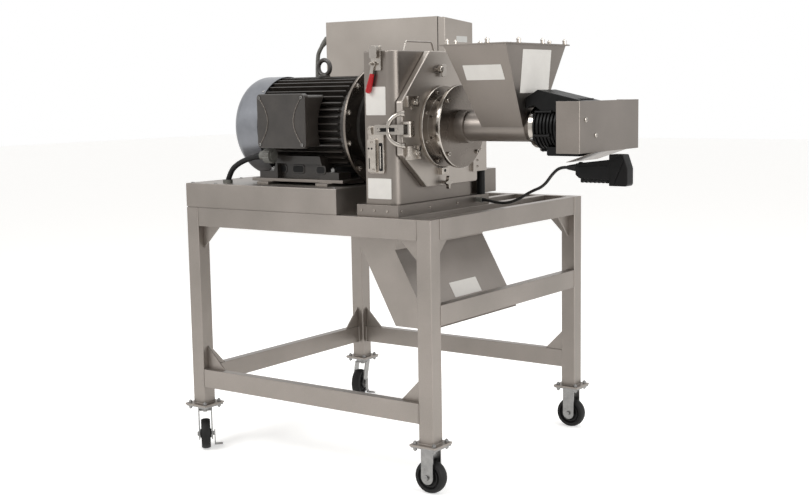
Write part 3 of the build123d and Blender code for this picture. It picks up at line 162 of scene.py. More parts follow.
# Turned and polished stainless: near mirror with faint smears
polishedStainless = surface(
    "polishedStainless", "#98928b", "#aca69f", rough=(0.10, 0.18), blotch=40, grain=1.0, bump=0.02)
# Turned stainless of the guard ring and the feed plate: fine concentric cuts left by the tool
turnedStainless = surface(
    "turnedStainless", "#6f6862", "#7f7871", rough=(0.22, 0.32), blotch=120, grain=0.9, bump=0.05)
# Machined steel of the screw, discs and shaft
machinedSteel = surface(
    "machinedSteel", "#96928e", "#9e9a96", rough=(0.26, 0.32), blotch=60, grain=0.8, bump=0.06)
# Zinc-plated caster steel: grey and a little dull
zincPlate = surface(
    "zincPlate", "#7c7b7a", "#92918f", rough=(0.26, 0.4), blotch=18, grain=1.2, bump=0.08)
# Brushed enamel over cast iron on the motor: warm near-black with a soft gloss and orange peel
motorEnamel = surface(
    "motorEnamel", "#27231f", "#342f2b", rough=(0.36, 0.48), blotch=60, grain=2.4, bump=0.22,
    shader={"Metallic": 0.0, "Specular IOR Level": 0.4, "Coat Weight": 0.3, "Coat Roughness": 0.15})
# The same enamel painted lighter: a painted highlight for the glossy curved lines along the terminal cover's
# waist
paintedHighlightEnamel = surface(
    "paintedHighlightEnamel", "#5d5751", "#7a736c", rough=(0.25, 0.35), blotch=12, grain=1.2, bump=0.1,
    shader={"Metallic": 0.5})
# The thick door plate, ground smoother than the housing and so a little lighter
groundStainless = surface(
    "groundStainless", "#9b948d", "#aaa39c", rough=(0.32, 0.4), blotch=220, grain=1.4, bump=0.08)
# Bright drawn stainless of the interlock and the door's fittings
brightStainless = surface(
    "brightStainless", "#a59e96", "#b9b2aa", rough=(0.2, 0.3), blotch=30, grain=0.9, bump=0.05)
# Silver-grey enamel on the pressed fan cover
silverEnamel = surface(
    "silverEnamel", "#74767b", "#84868b", rough=(0.30, 0.38), blotch=70, grain=1.8, bump=0.08,
    shader={"Metallic": 0.6})
# Moulded nylon and rubber, black
blackRubber = surface(
    "blackRubber", "#0f0f0f", "#1a1919", rough=(0.5, 0.66), blotch=25, grain=1.4, bump=0.15,
    shader={"Metallic": 0.0, "Specular IOR Level": 0.25})
blackNylon = surface(
    "blackNylon", "#090909", "#0f0e0e", rough=(0.36, 0.48), blotch=20, grain=1.2, bump=0.12,
    shader={"Metallic": 0.0, "Specular IOR Level": 0.15})
# Grey polyamide glands and conduit
greyPolyamide = surface(
    "greyPolyamide", "#55544f", "#6b6a65", rough=(0.42, 0.55), blotch=20, grain=1.0, bump=0.10,
    shader={"Metallic": 0.0})
# Grey cast iron, oiled
greyIron = surface(
    "greyIron", "#3b3937", "#4c4a47", rough=(0.5, 0.62), blotch=30, grain=2.0, bump=0.3,
    shader={"Metallic": 0.7})
# Dipped vinyl grip, glossy red
redVinyl = surface(
    "redVinyl", "#96060f", "#a60c16", rough=(0.28, 0.38), blotch=12, grain=1.0, bump=0.05,
    shader={"Metallic": 0.0, "Specular IOR Level": 0.3, "Coat Weight": 0.1, "Coat Roughness": 0.2})
# Blank vinyl and etched aluminium plates where the real machine carries words
blankVinyl = surface(
    "blankVinyl", "#cfccc7", "#d4d1cc", rough=(0.35, 0.45), blotch=30, grain=0.8, bump=0.03,
    shader={"Metallic": 0.0})
blankPlate = surface(
    "blankPlate", "#bfbeba", "#c4c3bf", rough=(0.3, 0.4), blotch=25, grain=0.7, bump=0.04,
    shader={"Metallic": 0.9})
print("materials made")

nodeFinish = {
    frameStainless: ["frame_legs", "top_rails", "lower_rails", "cross_rails", "corner_gussets", "foot_plates",
                     "motor_base", "motor_rails", "discharge_chute"],
    # Mill head pieces in the darkened stainless: painted shade for their darker reflections
    blastedStainlessPaintedShade: ["mill_housing", "mill_plinth",
                       "feed_hopper", "feed_tube", "drive_guard", "junction_box"],
    enclosureStainless: ["enclosure_body", "enclosure_door"],
    polishedStainless: ["feed_flange", "latch_arm", "toggle_clamp_base", "clamp_lever", "lift_handle",
                        "star_knob", "round_knob"],
    brightStainless: ["door_brackets", "door_interlock"],
    groundStainless: ["door_plate"],
    turnedStainless: ["guard_ring"],
    zincPlate: ["caster_heads", "swivel_fork_front", "swivel_fork_back", "brake_lever_front",
                "brake_lever_back"],
    blackRubber: ["swivel_wheel_front", "swivel_wheel_back", "rigid_wheel_front", "rigid_wheel_back"],
    motorEnamel: ["motor_frame", "motor_endshields", "terminal_box", "terminal_box_cover", "lifting_eye"],
    silverEnamel: ["fan_cover"],
    greyPolyamide: ["cable_glands"],
    blackNylon: ["hinge_post", "drive_connector", "gear_motor", "cooling_fan"],
    machinedSteel: ["main_shaft", "motor_rotor", "shaft_bearings", "rotating_disc", "fixed_disc",
                    "feed_auger"],
    greyIron: ["motor_stator", "mill_adapter"],
    redVinyl: ["clamp_grip"],
}
for finish, names in nodeFinish.items():
    for name in names:
        piece = frame["nodes"][name]
        piece.data.materials.clear()
        piece.data.materials.append(finish)


# Shapes shared by the pieces
def finishPiece(name, shape, finish, body, smooth=35):
    mesh = bpy.data.meshes.new(name)
    bmesh.ops.remove_doubles(shape, verts=shape.verts, dist=0.000002)
    bmesh.ops.recalc_face_normals(shape, faces=shape.faces)
    shape.to_mesh(mesh)
    shape.free()
    for side in mesh.polygons:
        side.use_smooth = True
    mesh.set_sharp_from_angle(angle=math.radians(smooth))
    mesh.materials.append(finish)
    piece = addObject(name, mesh)
    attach(piece, body)
    return piece


def joinRings(shape, rings, closed=False, capped=False):
    # Faces between each ring of corners and the next, closed to a loop or capped at both ends
    count = len(rings[0])
    for low, high in zip(rings, rings[1:] + (rings[:1] if closed else [])):
        for step in range(count):
            after = (step + 1) % count
            shape.faces.new((low[step], low[after], high[after], high[step]))
    if capped:
        shape.faces.new(rings[0])
        shape.faces.new(rings[-1])


def roundEdges(piece, width, angle=32):
    # Sharp edges broken by a small rounding, as real edges are
    rounding = piece.modifiers.new("edges", "BEVEL")
    rounding.width = width / 1000
    rounding.segments = 2
    rounding.limit_method = "ANGLE"
    rounding.angle_limit = math.radians(angle)
    piece.modifiers.new("normals", "WEIGHTED_NORMAL")
    return piece


def crossAxes(axis):
    axis = Vector(axis).normalized()
    helper = Vector((0, 0, 1)) if abs(axis.z) < 0.9 else Vector((1, 0, 0))
    first = helper.cross(axis).normalized()
    return axis, first, axis.cross(first)


def turnForm(shape, profile, place, axis, steps=24):
    # Profile points are (distance along the axis, radius) in millimetres
    axis, first, second = crossAxes(axis)
    rings = []
    for along, radius in profile:
        middle = place + axis * along / 1000
        if radius < 1e-6:
            rings.append([shape.verts.new(middle)])
            continue
        ring = []
        for step in range(steps):
            angle = 2 * math.pi * step / steps
            outward = first * math.cos(angle) + second * math.sin(angle)
            ring.append(shape.verts.new(middle + outward * radius / 1000))
        rings.append(ring)
    for low, high in zip(rings, rings[1:]):
        for step in range(steps):
            after = (step + 1) % steps
            unique = []
            for corner in (low[step % len(low)], low[after % len(low)], high[after % len(high)],
                           high[step % len(high)]):
                if corner not in unique:
                    unique.append(corner)
            if len(unique) > 2:
                shape.faces.new(unique)


def hexBolt(shape, place, axis, across=16.0, height=8.0, washer=12.0):
    # Washer, then a chamfered hexagon head, then the screw's end
    turnForm(shape, [(0, 0), (0, washer), (1.6, washer), (2.0, washer - 0.6), (2.0, 0)], place, axis)
    corner = across / 2 / math.cos(math.pi / 6)
    seat = place + Vector(axis).normalized() * 0.002
    turnForm(shape, [(0, 0), (0, corner), (height - 1.2, corner), (height, corner * 0.88), (height, 0)],
             seat, axis, 6)
    turnForm(shape, [(height, across * 0.28), (height + 3, across * 0.28), (height + 3.6, across * 0.2),
                     (height + 3.6, 0)], seat, axis, 16)


def socketScrew(shape, place, axis, radius=7.0, height=7.0):
    turnForm(shape, [(0, radius), (height - 0.8, radius), (height, radius - 0.8), (height, radius * 0.55),
                     (height * 0.35, radius * 0.55), (height * 0.35, 0)], place, axis, 20)


def panScrew(shape, place, axis, radius=5.0, height=3.0):
    turnForm(shape, [(0, radius), (height * 0.45, radius), (height * 0.8, radius * 0.8),
                     (height, radius * 0.45), (height, radius * 0.18), (height * 0.4, radius * 0.18),
                     (height * 0.4, 0)], place, axis, 18)


def roundedOutline(width, height, radius, steps=5):
    points = []
    for cornerX, cornerY, start in ((1, 1, 0), (-1, 1, 90), (-1, -1, 180), (1, -1, 270)):
        for step in range(steps + 1):
            angle = math.radians(start + 90 * step / steps)
            points.append((cornerX * (width / 2 - radius) + radius * math.cos(angle),
                           cornerY * (height / 2 - radius) + radius * math.sin(angle)))
    return points


def plateForm(shape, outline, place, across, upward, depth, soften=0.4):
    # A plate grown out of the plane of across and upward, with softened front edges
    across, upward = Vector(across).normalized(), Vector(upward).normalized()
    outward = across.cross(upward)
    middle = [sum(point[i] for point in outline) / len(outline) for i in (0, 1)]
    rings = []
    for level, shrink in ((0, 0), (depth - soften, 0), (depth, soften)):
        ring = []
        for x, y in outline:
            reach = max(math.hypot(x - middle[0], y - middle[1]), 1e-6)
            keep = 1 - shrink / reach
            x, y = middle[0] + (x - middle[0]) * keep, middle[1] + (y - middle[1]) * keep
            ring.append(shape.verts.new(place + (across * x + upward * y + outward * level) / 1000))
        rings.append(ring)
    joinRings(shape, rings)
    shape.faces.new(rings[-1])
    shape.faces.new(list(reversed(rings[0])))


# Faces that look along x and were turned, on pieces whose rims are polished
turnedFaces = {"feed_flange": turnedStainless, "guard_ring": turnedStainless}


def softenNode(nodeName, width):
    # The solid's own shape with its sharp edges broken, as a real edge is
    source = frame["nodes"][nodeName]
    mesh = source.data.copy()
    mesh.name = nodeName + "Dressed"
    shape = bmesh.new()
    shape.from_mesh(mesh)
    bmesh.ops.remove_doubles(shape, verts=shape.verts, dist=0.00001)
    bmesh.ops.dissolve_limit(shape, angle_limit=math.radians(0.4), verts=shape.verts, edges=shape.edges)
    shape.to_mesh(mesh)
    shape.free()
    for leftover in ("custom_normal", "sharp_edge", "sharp_face"):
        if mesh.attributes.get(leftover):
            mesh.attributes.remove(mesh.attributes[leftover])
    if nodeName in turnedFaces:
        mesh.materials.append(turnedFaces[nodeName])
    for side in mesh.polygons:
        side.use_smooth = True
        if nodeName in turnedFaces and abs(side.normal.x) > 0.95:
            side.material_index = 1
    piece = roundEdges(addObject(nodeName + "Dressed", mesh), width)
    mesh.set_sharp_from_angle(angle=math.radians(32))
    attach(piece, source["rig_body"])
    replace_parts(piece, nodeName)
    return piece


softEdges = {
    "frame_legs": 1.2, "top_rails": 2.5, "lower_rails": 2.5, "cross_rails": 2.5, "corner_gussets": 0.8,
    "foot_plates": 0.8, "motor_base": 1.2, "mill_housing": 2.0, "mill_plinth": 1.5, "door_plate": 1.2,
    "feed_hopper": 1.0, "enclosure_body": 1.5, "enclosure_door": 1.5, "junction_box": 1.0,
    "terminal_box": 2.0, "terminal_box_cover": 2.0, "motor_rails": 1.0, "discharge_chute": 0.8,
    "door_brackets": 1.0, "toggle_clamp_base": 1.0,
    "clamp_lever": 1.0, "latch_arm": 1.2, "guard_ring": 0.8, "feed_flange": 0.8,
    "caster_heads": 0.8, "swivel_fork_front": 0.8, "swivel_fork_back": 0.8, "brake_lever_front": 0.8,
    "brake_lever_back": 0.8, "star_knob": 1.5, "round_knob": 1.0,
}
for nodeName, width in softEdges.items():
    softenNode(nodeName, width)
print("edges softened")

millY, millZ = -268.0, 1346.0


def aroundMill(x, radius, angle):
    turn = math.radians(angle)
    return spot(x, millY + radius * math.cos(turn), millZ + radius * math.sin(turn))


# Screws on the door ring, the feed plate, the guard ring and the gear flange
# Each row: name, face along x, circle, count, first angle, side it looks to, screw, sizes, finish, body
millBolts = [
    ("ringScrews", 474.5, 137, 8, 22.5, 1, socketScrew, (6.5, 5), polishedStainless, "door"),
    ("feedPlateScrews", 552.5, 140, 4, 45, 1, socketScrew, (8.5, 8), polishedStainless, "door"),
    ("guardRingBolts", 175.5, 222, 12, 15, 1, hexBolt, (15, 8, 12), polishedStainless, "frame"),
    ("gearFlangeBolts", 900.0, 83, 6, 30, -1, hexBolt, (11, 7, 8), zincPlate, "door"),
]


def makeMillBolts():
    for name, face, circle, count, first, side, screw, sizes, finish, body in millBolts:
        shape = bmesh.new()
        for step in range(count):
            screw(shape, aroundMill(face, circle, first + 360 / count * step), (side, 0, 0), *sizes)
        finishPiece(name, shape, finish, body)


makeMillBolts()


# Screws through the plinth, the base, the guard and the covers
def makeSmallScrews():
    shape = bmesh.new()
    for x in (285, 345, 405):
        socketScrew(shape, spot(x, -556, 1043), (0, -1, 0), 5, 3)
    for y in (-536, -350, -160, 0):
        socketScrew(shape, spot(455, y, 1043), (1, 0, 0), 5, 3)
    finishPiece("plinthScrews", shape, polishedStainless, "frame")
    shape = bmesh.new()
    for x in (-590, -460, 160):
        for y in (-560, -270, 20):
            panScrew(shape, spot(x, y, 1120), (0, 0, 1), 7, 4)
    finishPiece("baseScrews", shape, zincPlate, "frame")
    shape = bmesh.new()
    for x in (-214, 2):
        for z in (1282, 1464):
            socketScrew(shape, spot(x, -553, z), (0, -1, 0), 6, 4)
    finishPiece("coverScrews", shape, zincPlate, "frame")
    shape = bmesh.new()
    for y, z in ((-435.8, 1375.5), (-361.5, 1320.2)):
        panScrew(shape, spot(1158.5, y, z), (1, 0, 0), 9, 4)
    finishPiece("guardScrews", shape, polishedStainless, "door")


makeSmallScrews()


# Thumb screws along the hopper rim, each on its washer with the screw's end above the nut
rimScrews = {"near": -490.0, "far": -46.0, "right": 878.0, "left": 612.0, "top": 1644.0,
             "alongNear": (634.5, 802.0), "alongSide": (-403.0, -233.0, -67.0)}


def thumbScrew(shape, place):
    turnForm(shape, [(0, 0), (0, 10), (1.6, 10), (2.4, 7.5), (9, 7.5), (9.5, 8.6), (14, 8.6), (15, 7.4),
                     (15, 3.6), (19, 3.4), (19.6, 2.4), (19.6, 0)], place, (0, 0, 1), 10)


def makeRimScrews():
    shape = bmesh.new()
    for x in rimScrews["alongNear"]:
        for y in (rimScrews["near"], rimScrews["far"]):
            thumbScrew(shape, spot(x, y, rimScrews["top"]))
    for y in rimScrews["alongSide"]:
        for x in (rimScrews["right"], rimScrews["left"]):
            thumbScrew(shape, spot(x, y, rimScrews["top"]))
    finishPiece("rimThumbScrews", shape, brightStainless, "door")


makeRimScrews()


# Weld beads where rails, gussets and plates meet the legs
weld = {"radius": 2.6, "ripple": 5.0, "proud": 0.35}


def weldBead(shape, start, end):
    # A rippled fillet along a joint, one ripple for each dip of the torch
    line = end - start
    first, second = crossAxes(line)[1:]
    count = max(3, int(line.length * 1000 / weld["ripple"]) * 4)
    rings = []
    for step in range(count + 1):
        part = step / count
        swell = weld["radius"] + weld["proud"] * math.cos(2 * math.pi * part * count / 4)
        if step in (0, count):
            swell *= 0.5
        middle = start + line * part
        ring = [shape.verts.new(middle + (first * math.cos(a) + second * math.sin(a)) * swell / 1000)
                for a in (math.pi * 2 * i / 6 for i in range(6))]
        rings.append(ring)
    joinRings(shape, rings, capped=True)


framePlan = {"halfLong": 612.5, "halfWide": 580.0, "leg": 63.5, "railWide": 38.1, "railHigh": 76.2,
             "legFoot": 190.0, "railTops": ((1020.0, "all"), (340.0, "three"), (703.0, "one"))}


def makeWelds():
    shape = bmesh.new()
    halfLong, halfWide, leg, rail = (framePlan[key] for key in ("halfLong", "halfWide", "leg", "railWide"))
    for level, sides in framePlan["railTops"]:
        low = level - framePlan["railHigh"]
        for side in (-1, 1):
            edgeY = side * (halfWide - rail)
            if sides != "one":
                for x in (-halfLong + leg, halfLong - leg):
                    weldBead(shape, spot(x, edgeY, low), spot(x, edgeY, level))
                    weldBead(shape, spot(x, side * halfWide, low), spot(x, side * halfWide, level))
            edgeX = side * (halfLong - rail)
            if sides == "all" or (sides == "three" and side < 0) or (sides == "one" and side > 0):
                for y in (-halfWide + leg, halfWide - leg):
                    weldBead(shape, spot(edgeX, y, low), spot(edgeX, y, level))
                    weldBead(shape, spot(side * halfLong, y, low), spot(side * halfLong, y, level))
    for x in (-halfLong, halfLong - leg):
        for y in (-halfWide, halfWide - leg):
            corners = [spot(x + dx, y + dy, framePlan["legFoot"])
                       for dx, dy in ((0, 0), (leg, 0), (leg, leg), (0, leg))]
            for start, end in zip(corners, corners[1:] + corners[:1]):
                weldBead(shape, start, end)
    finishPiece("frameWelds", shape, frameStainless, "frame", 60)


makeWelds()


# Caster hardware: plate bolts and axle nuts
casterPlan = {"bolt": 42.0, "plateTop": 190.0, "plateBottom": 177.0, "x": 580.75, "y": 548.25, "axle": 63.5,
              "nutReach": 29.2, "trail": 40.0, "angles": {"Front": -45, "Back": -75}}


def swivelWheel(label):
    # Where a swivel caster's axle stands and how it is turned
    turn, trail = math.radians(casterPlan["angles"][label]), casterPlan["trail"]
    y = -casterPlan["y"] if label == "Front" else casterPlan["y"]
    return -casterPlan["x"] + trail * math.cos(turn), y + trail * math.sin(turn), turn


def makeCasterHardware():
    shape = bmesh.new()
    for x in (-casterPlan["x"], casterPlan["x"]):
        for y in (-casterPlan["y"], casterPlan["y"]):
            for dx, dy in ((-1, -1), (-1, 1), (1, -1), (1, 1)):
                corner = (x + dx * casterPlan["bolt"], y + dy * casterPlan["bolt"])
                hexBolt(shape, spot(*corner, casterPlan["plateTop"]), (0, 0, 1), 13, 7, 9)
                hexBolt(shape, spot(*corner, casterPlan["plateBottom"]), (0, 0, -1), 13, 8, 9)
    finishPiece("casterPlateBolts", shape, zincPlate, "frame")
    shape = bmesh.new()
    for y in (-casterPlan["y"], casterPlan["y"]):
        for side in (-1, 1):
            place = spot(casterPlan["x"], y + side * casterPlan["nutReach"], casterPlan["axle"])
            turnForm(shape, [(0, 0), (0, 9.5), (7, 9.5), (8, 8), (8, 0)], place, (0, side, 0), 6)
    finishPiece("rigidAxleNuts", shape, zincPlate, "frame")
    for label in casterPlan["angles"]:
        wheelX, wheelY, turn = swivelWheel(label)
        axle = Vector((math.sin(turn), -math.cos(turn), 0))
        shape = bmesh.new()
        for side in (-1, 1):
            turnForm(shape, [(0, 0), (0, 9.5), (5.5, 9.5), (5.9, 9), (5.9, 0)],
                     spot(wheelX, wheelY, casterPlan["axle"]) + axle * side * (casterPlan["nutReach"] / 1000),
                     axle * side, 6)
        finishPiece("swivelAxleNuts" + label, shape, zincPlate, "swivel_" + label.lower())


makeCasterHardware()


# Details that land on the solids, found by a line from outside
landingTrees = {}


def landOn(nodeNames, start, direction):
    # The nearest place where the line meets one of the nodes, and which way that place faces
    direction = Vector(direction).normalized()
    nearest = None
    for nodeName in nodeNames.split():
        if nodeName not in landingTrees:
            data = frame["nodes"][nodeName].data
            landingTrees[nodeName] = BVHTree.FromPolygons([v.co for v in data.vertices],
                                                          [side.vertices for side in data.polygons])
        place, outward, _, distance = landingTrees[nodeName].ray_cast(start, direction)
        if place and (nearest is None or distance < nearest[2]):
            nearest = (place, outward if outward.dot(direction) < 0 else -outward, distance)
    if nearest is None:
        raise RuntimeError("no surface of " + nodeNames + " on the line from " + str(tuple(start)))
    return nearest[0], nearest[1]


def plateOn(shape, nodeName, start, direction, outline, depth, soften=0.4):
    place, outward = landOn(nodeName, start, direction)
    upward = (Vector((0, 0, 1)) - outward * outward.z).normalized()
    plateForm(shape, outline, place, upward.cross(outward), upward, depth, soften)


def ringArc(shape, middle, first, second, radius, rod, start=0.0, sweep=360.0, steps=48):
    # A round rod bent to a circle in the plane of first and second
    first, second = Vector(first).normalized(), Vector(second).normalized()
    across = first.cross(second)
    rings, sides = [], 14
    count = steps if sweep >= 360 else steps + 1
    for step in range(count):
        turn = math.radians(start + sweep * step / steps)
        outward = first * math.cos(turn) + second * math.sin(turn)
        centre = middle + outward * radius / 1000
        rings.append([shape.verts.new(centre + (outward * math.cos(a) + across * math.sin(a)) * rod / 1000)
                      for a in (2 * math.pi * i / sides for i in range(sides))])
    joinRings(shape, rings, closed=sweep >= 360, capped=sweep < 360)


def prismForm(shape, outline, lowY, highY):
    # An outline in x and z, grown along y
    rings = [[shape.verts.new(spot(x, y, z)) for x, z in outline] for y in (lowY, highY)]
    joinRings(shape, rings, capped=True)


def foldForm(shape, path, thickness, low, high):
    # A folded sheet: the path is its outer side in x and y, grown from the low height to the high one
    def offset(index):
        here = Vector(path[index])
        before = Vector(path[max(index - 1, 0)])
        after = Vector(path[min(index + 1, len(path) - 1)])
        runs = [run.normalized() for run in (here - before, after - here) if run.length > 1e-6]
        sides = [Vector((-run.y, run.x)) for run in runs]
        middle = sum(sides, Vector((0, 0))).normalized()
        return here + middle * thickness / max(middle.dot(sides[0]), 0.3)
    outline = list(path) + [tuple(offset(index)) for index in reversed(range(len(path)))]
    rings = [[shape.verts.new(spot(x, y, z)) for x, y in outline] for z in (low, high)]
    joinRings(shape, rings)
    count = len(outline)
    for ring in rings:
        for step in range(len(path) - 1):
            shape.faces.new((ring[step], ring[step + 1], ring[count - 2 - step], ring[count - 1 - step]))


# Motor: lifting eye, waist ribs of the terminal cover in a lighter enamel as painted highlight, cast window
# rims in the feet with dark discs inside as painted shade, screws
motorPlan = {"footTop": 1171.0, "footX": (-254.9, 49.9), "footY": (-426.75, -109.25),
             "eye": (-112.0, -268.0, 1582.0), "eyeRing": 30.0, "eyeRod": 9.0, "eyeFoot": 1545.0,
             "coverFace": -552.8, "coverMiddle": (-106.0, 1373.0), "waist": 46.0}


def makeLiftingEye():
    shape = bmesh.new()
    x, y, z = motorPlan["eye"]
    ring, rod = motorPlan["eyeRing"], motorPlan["eyeRod"]
    ringArc(shape, spot(x, y, z), (1, 0, 0), (0, 0, 1), ring, rod)
    foot = motorPlan["eyeFoot"]
    neck = z - ring - foot
    turnForm(shape, [(0, 0), (0, 24), (5, 24), (8, 21), (10, 13), (neck, 11), (neck, 0)], spot(x, y, foot),
             (0, 0, 1), 24)
    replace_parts(finishPiece("liftingEyeDressed", shape, motorEnamel, "frame"), "lifting_eye")


def makeMotorDetails():
    shape = bmesh.new()
    for x in motorPlan["footX"]:
        for y in motorPlan["footY"]:
            hexBolt(shape, spot(x, y, motorPlan["footTop"]), (0, 0, 1), 22, 12, 18)
    finishPiece("motorFootBolts", shape, zincPlate, "frame")
    shape = bmesh.new()
    for step in range(4):
        turn = math.radians(45 + 90 * step)
        outward = Vector((0, math.cos(turn), math.sin(turn)))
        panScrew(shape, aroundMill(-318, 203, 45 + 90 * step), outward, 6, 3)
    finishPiece("fanCoverScrews", shape, zincPlate, "frame")
    shape = bmesh.new()
    middleX, middleZ = motorPlan["coverMiddle"]
    for side in (-1, 1):
        points = []
        for step in range(17):
            part = step / 16
            points.append((side * (112 - motorPlan["waist"] * math.sin(math.pi * part)), -97 + 194 * part))
        for a, b in zip(points, points[1:]):
            strip = [(a[0] - 1.5, a[1]), (a[0] + 1.5, a[1]), (b[0] + 1.5, b[1]), (b[0] - 1.5, b[1])]
            plateForm(shape, strip, spot(middleX, motorPlan["coverFace"], middleZ), (1, 0, 0), (0, 0, 1),
                      2.6, 0.5)
    # Waist ribs in the lighter enamel: painted highlight along the cover's curved lines
    finishPiece("terminalCoverRibs", shape, paintedHighlightEnamel, "frame", 60)
    shape, dark = bmesh.new(), bmesh.new()
    # Rims on the feet, and inside each a thin dark disc: painted shade in the cast window
    for x, width, z in ((-122, 54, 1180), (-205, 36, 1180), (14, 40, 1180)):
        start = spot(x, -700, z)
        plateOn(shape, "motor_frame", start, (0, 1, 0), roundedOutline(width + 10, 36, 12), 3.0, 1.2)
        plateOn(dark, "motor_frame", start, (0, 1, 0), roundedOutline(width, 26, 10), 3.6, 0.3)
    finishPiece("footWindowRims", shape, motorEnamel, "frame")
    finishPiece("footWindowShade", dark, blackRubber, "frame")


# Clamp grip: a dipped handle that widens towards its end
gripPlan = {"top": (345.5, 1546.5), "bottom": (324.0, 1476.0), "middleY": -552.5,
            "sections": [(0.0, 5.0, 5.0), (0.03, 8.0, 7.0), (0.2, 8.6, 7.6), (0.45, 9.4, 8.4),
                         (0.7, 10.4, 9.0), (0.9, 10.6, 9.0), (0.97, 8.6, 7.6), (1.0, 4.0, 4.0)]}


def makeClampGrip():
    shape = bmesh.new()
    top, bottom = Vector(gripPlan["top"]), Vector(gripPlan["bottom"])
    run = bottom - top
    across = Vector((-run.y, run.x)).normalized()
    rings = []
    for part, halfWide, halfDeep in gripPlan["sections"]:
        x, z = top + run * part
        ring = []
        for step in range(20):
            turn = 2 * math.pi * step / 20
            wide = halfWide * math.copysign(abs(math.cos(turn)) ** 0.7, math.cos(turn))
            deep = halfDeep * math.copysign(abs(math.sin(turn)) ** 0.7, math.sin(turn))
            place = spot(x + across.x * wide, gripPlan["middleY"] + deep, z + across.y * wide)
            ring.append(shape.verts.new(place))
        rings.append(ring)
    joinRings(shape, rings, capped=True)
    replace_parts(finishPiece("clampGripDressed", shape, redVinyl, "clamp"), "clamp_grip")


# Guard over the geared motor: a folded sheet, the sloped sheet under it and the black hood behind it
guardPlan = {"front": 1158.5, "back": 1070.0, "near": -484.0, "far": -20.0, "bottom": 1262.0, "top": 1438.5,
             "fold": 5.0, "sheet": 2.0, "lip": 14.0, "trayY": (-360, -120), "hoodY": (-334, -202),
             "hood": [(863, 1414), (863, 1450), (914, 1479), (1112, 1434), (1112, 1400), (932, 1400),
                      (898, 1424)]}


def makeGuard():
    shape = bmesh.new()
    front, back, near, far = (guardPlan[key] for key in ("front", "back", "near", "far"))
    fold = guardPlan["fold"]
    path = [(back, near)]
    for cornerY, startAngle in ((near + fold, -90), (far - fold, 0)):
        for step in range(5):
            turn = math.radians(startAngle + 90 * step / 4)
            path.append((front - fold + fold * math.cos(turn), cornerY + fold * math.sin(turn)))
    path.append((back, far))
    foldForm(shape, path, guardPlan["sheet"], guardPlan["bottom"], guardPlan["top"])
    sheet, top, bottom = guardPlan["sheet"], guardPlan["top"], guardPlan["bottom"]
    prismForm(shape, [(front - guardPlan["lip"], top - sheet), (front - 1, top - sheet), (front - 1, top),
                      (front - guardPlan["lip"], top)], near + 4, far - 4)
    prismForm(shape, [(front - 1, bottom), (front - 3, bottom + sheet), (front - 116, bottom - 36),
                      (front - 116, bottom - 38)], *guardPlan["trayY"])
    piece = finishPiece("driveGuardDressed", shape, blastedStainlessPaintedShade, "door")
    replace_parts(roundEdges(piece, 0.6), "drive_guard")
    shape = bmesh.new()
    prismForm(shape, guardPlan["hood"], *guardPlan["hoodY"])
    roundEdges(finishPiece("gearHood", shape, blackNylon, "door"), 2.0)


# Geared motor: turned body with cooling ribs, foot and long screws, and the bright end ring of the feed tube
gearPlan = {"from": 900.0, "to": 1146.0, "body": 74.0, "rib": 82.0, "ribWidth": 8.5, "pitch": 14.0,
            "ribs": 15, "ringFrom": 878.0, "ringTo": 899.8, "ringRadius": 77.0,
            "foot": [(944, 1262), (944, 1248), (950, 1244), (1074, 1244), (1074, 1276), (944, 1276)],
            "footY": (-322, -214), "neck": [(930, 1400), (930, 1446), (1080, 1446), (1080, 1400)],
            "neckY": (-312, -224)}


def makeGearMotor():
    shape = bmesh.new()
    length = gearPlan["to"] - gearPlan["from"]
    body, rib = gearPlan["body"], gearPlan["rib"]
    profile = [(0, 0), (0, rib), (7, rib), (8, body)]
    for step in range(gearPlan["ribs"]):
        along = 14 + step * gearPlan["pitch"]
        profile += [(along, body), (along + 0.6, rib), (along + gearPlan["ribWidth"], rib),
                    (along + gearPlan["ribWidth"] + 0.6, body)]
    profile += [(length - 6, body), (length, body - 6), (length, 0)]
    turnForm(shape, profile, spot(gearPlan["from"], millY, millZ), (1, 0, 0), 44)
    prismForm(shape, gearPlan["foot"], *gearPlan["footY"])
    prismForm(shape, gearPlan["neck"], *gearPlan["neckY"])
    piece = finishPiece("gearMotorDressed", shape, blackNylon, "door")
    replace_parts(roundEdges(piece, 1.0, 50), "gear_motor")
    shape = bmesh.new()
    for step in range(6):
        turnForm(shape, [(0, 5), (62, 5), (62, 8), (68, 8), (69, 6), (69, 0)],
                 aroundMill(904, 85, 20 + 60 * step), (1, 0, 0), 12)
    finishPiece("gearLongScrews", shape, blackNylon, "door")
    shape = bmesh.new()
    length = gearPlan["ringTo"] - gearPlan["ringFrom"]
    radius = gearPlan["ringRadius"]
    turnForm(shape, [(0, radius - 8), (1.5, radius - 1), (length - 5, radius - 1), (length - 4, radius),
                     (length - 0.5, radius), (length, radius - 0.6), (length, radius - 10)],
             spot(gearPlan["ringFrom"], millY, millZ), (1, 0, 0), 56)
    finishPiece("feedEndRing", shape, polishedStainless, "door")


# Connector: ribbed body, slanted end block with its latch, and the tapered sleeve of the cord
connectorPlan = {"front": 1249.0, "middleY": -280.0, "middleZ": 1196.0, "halfDeep": 25.0}


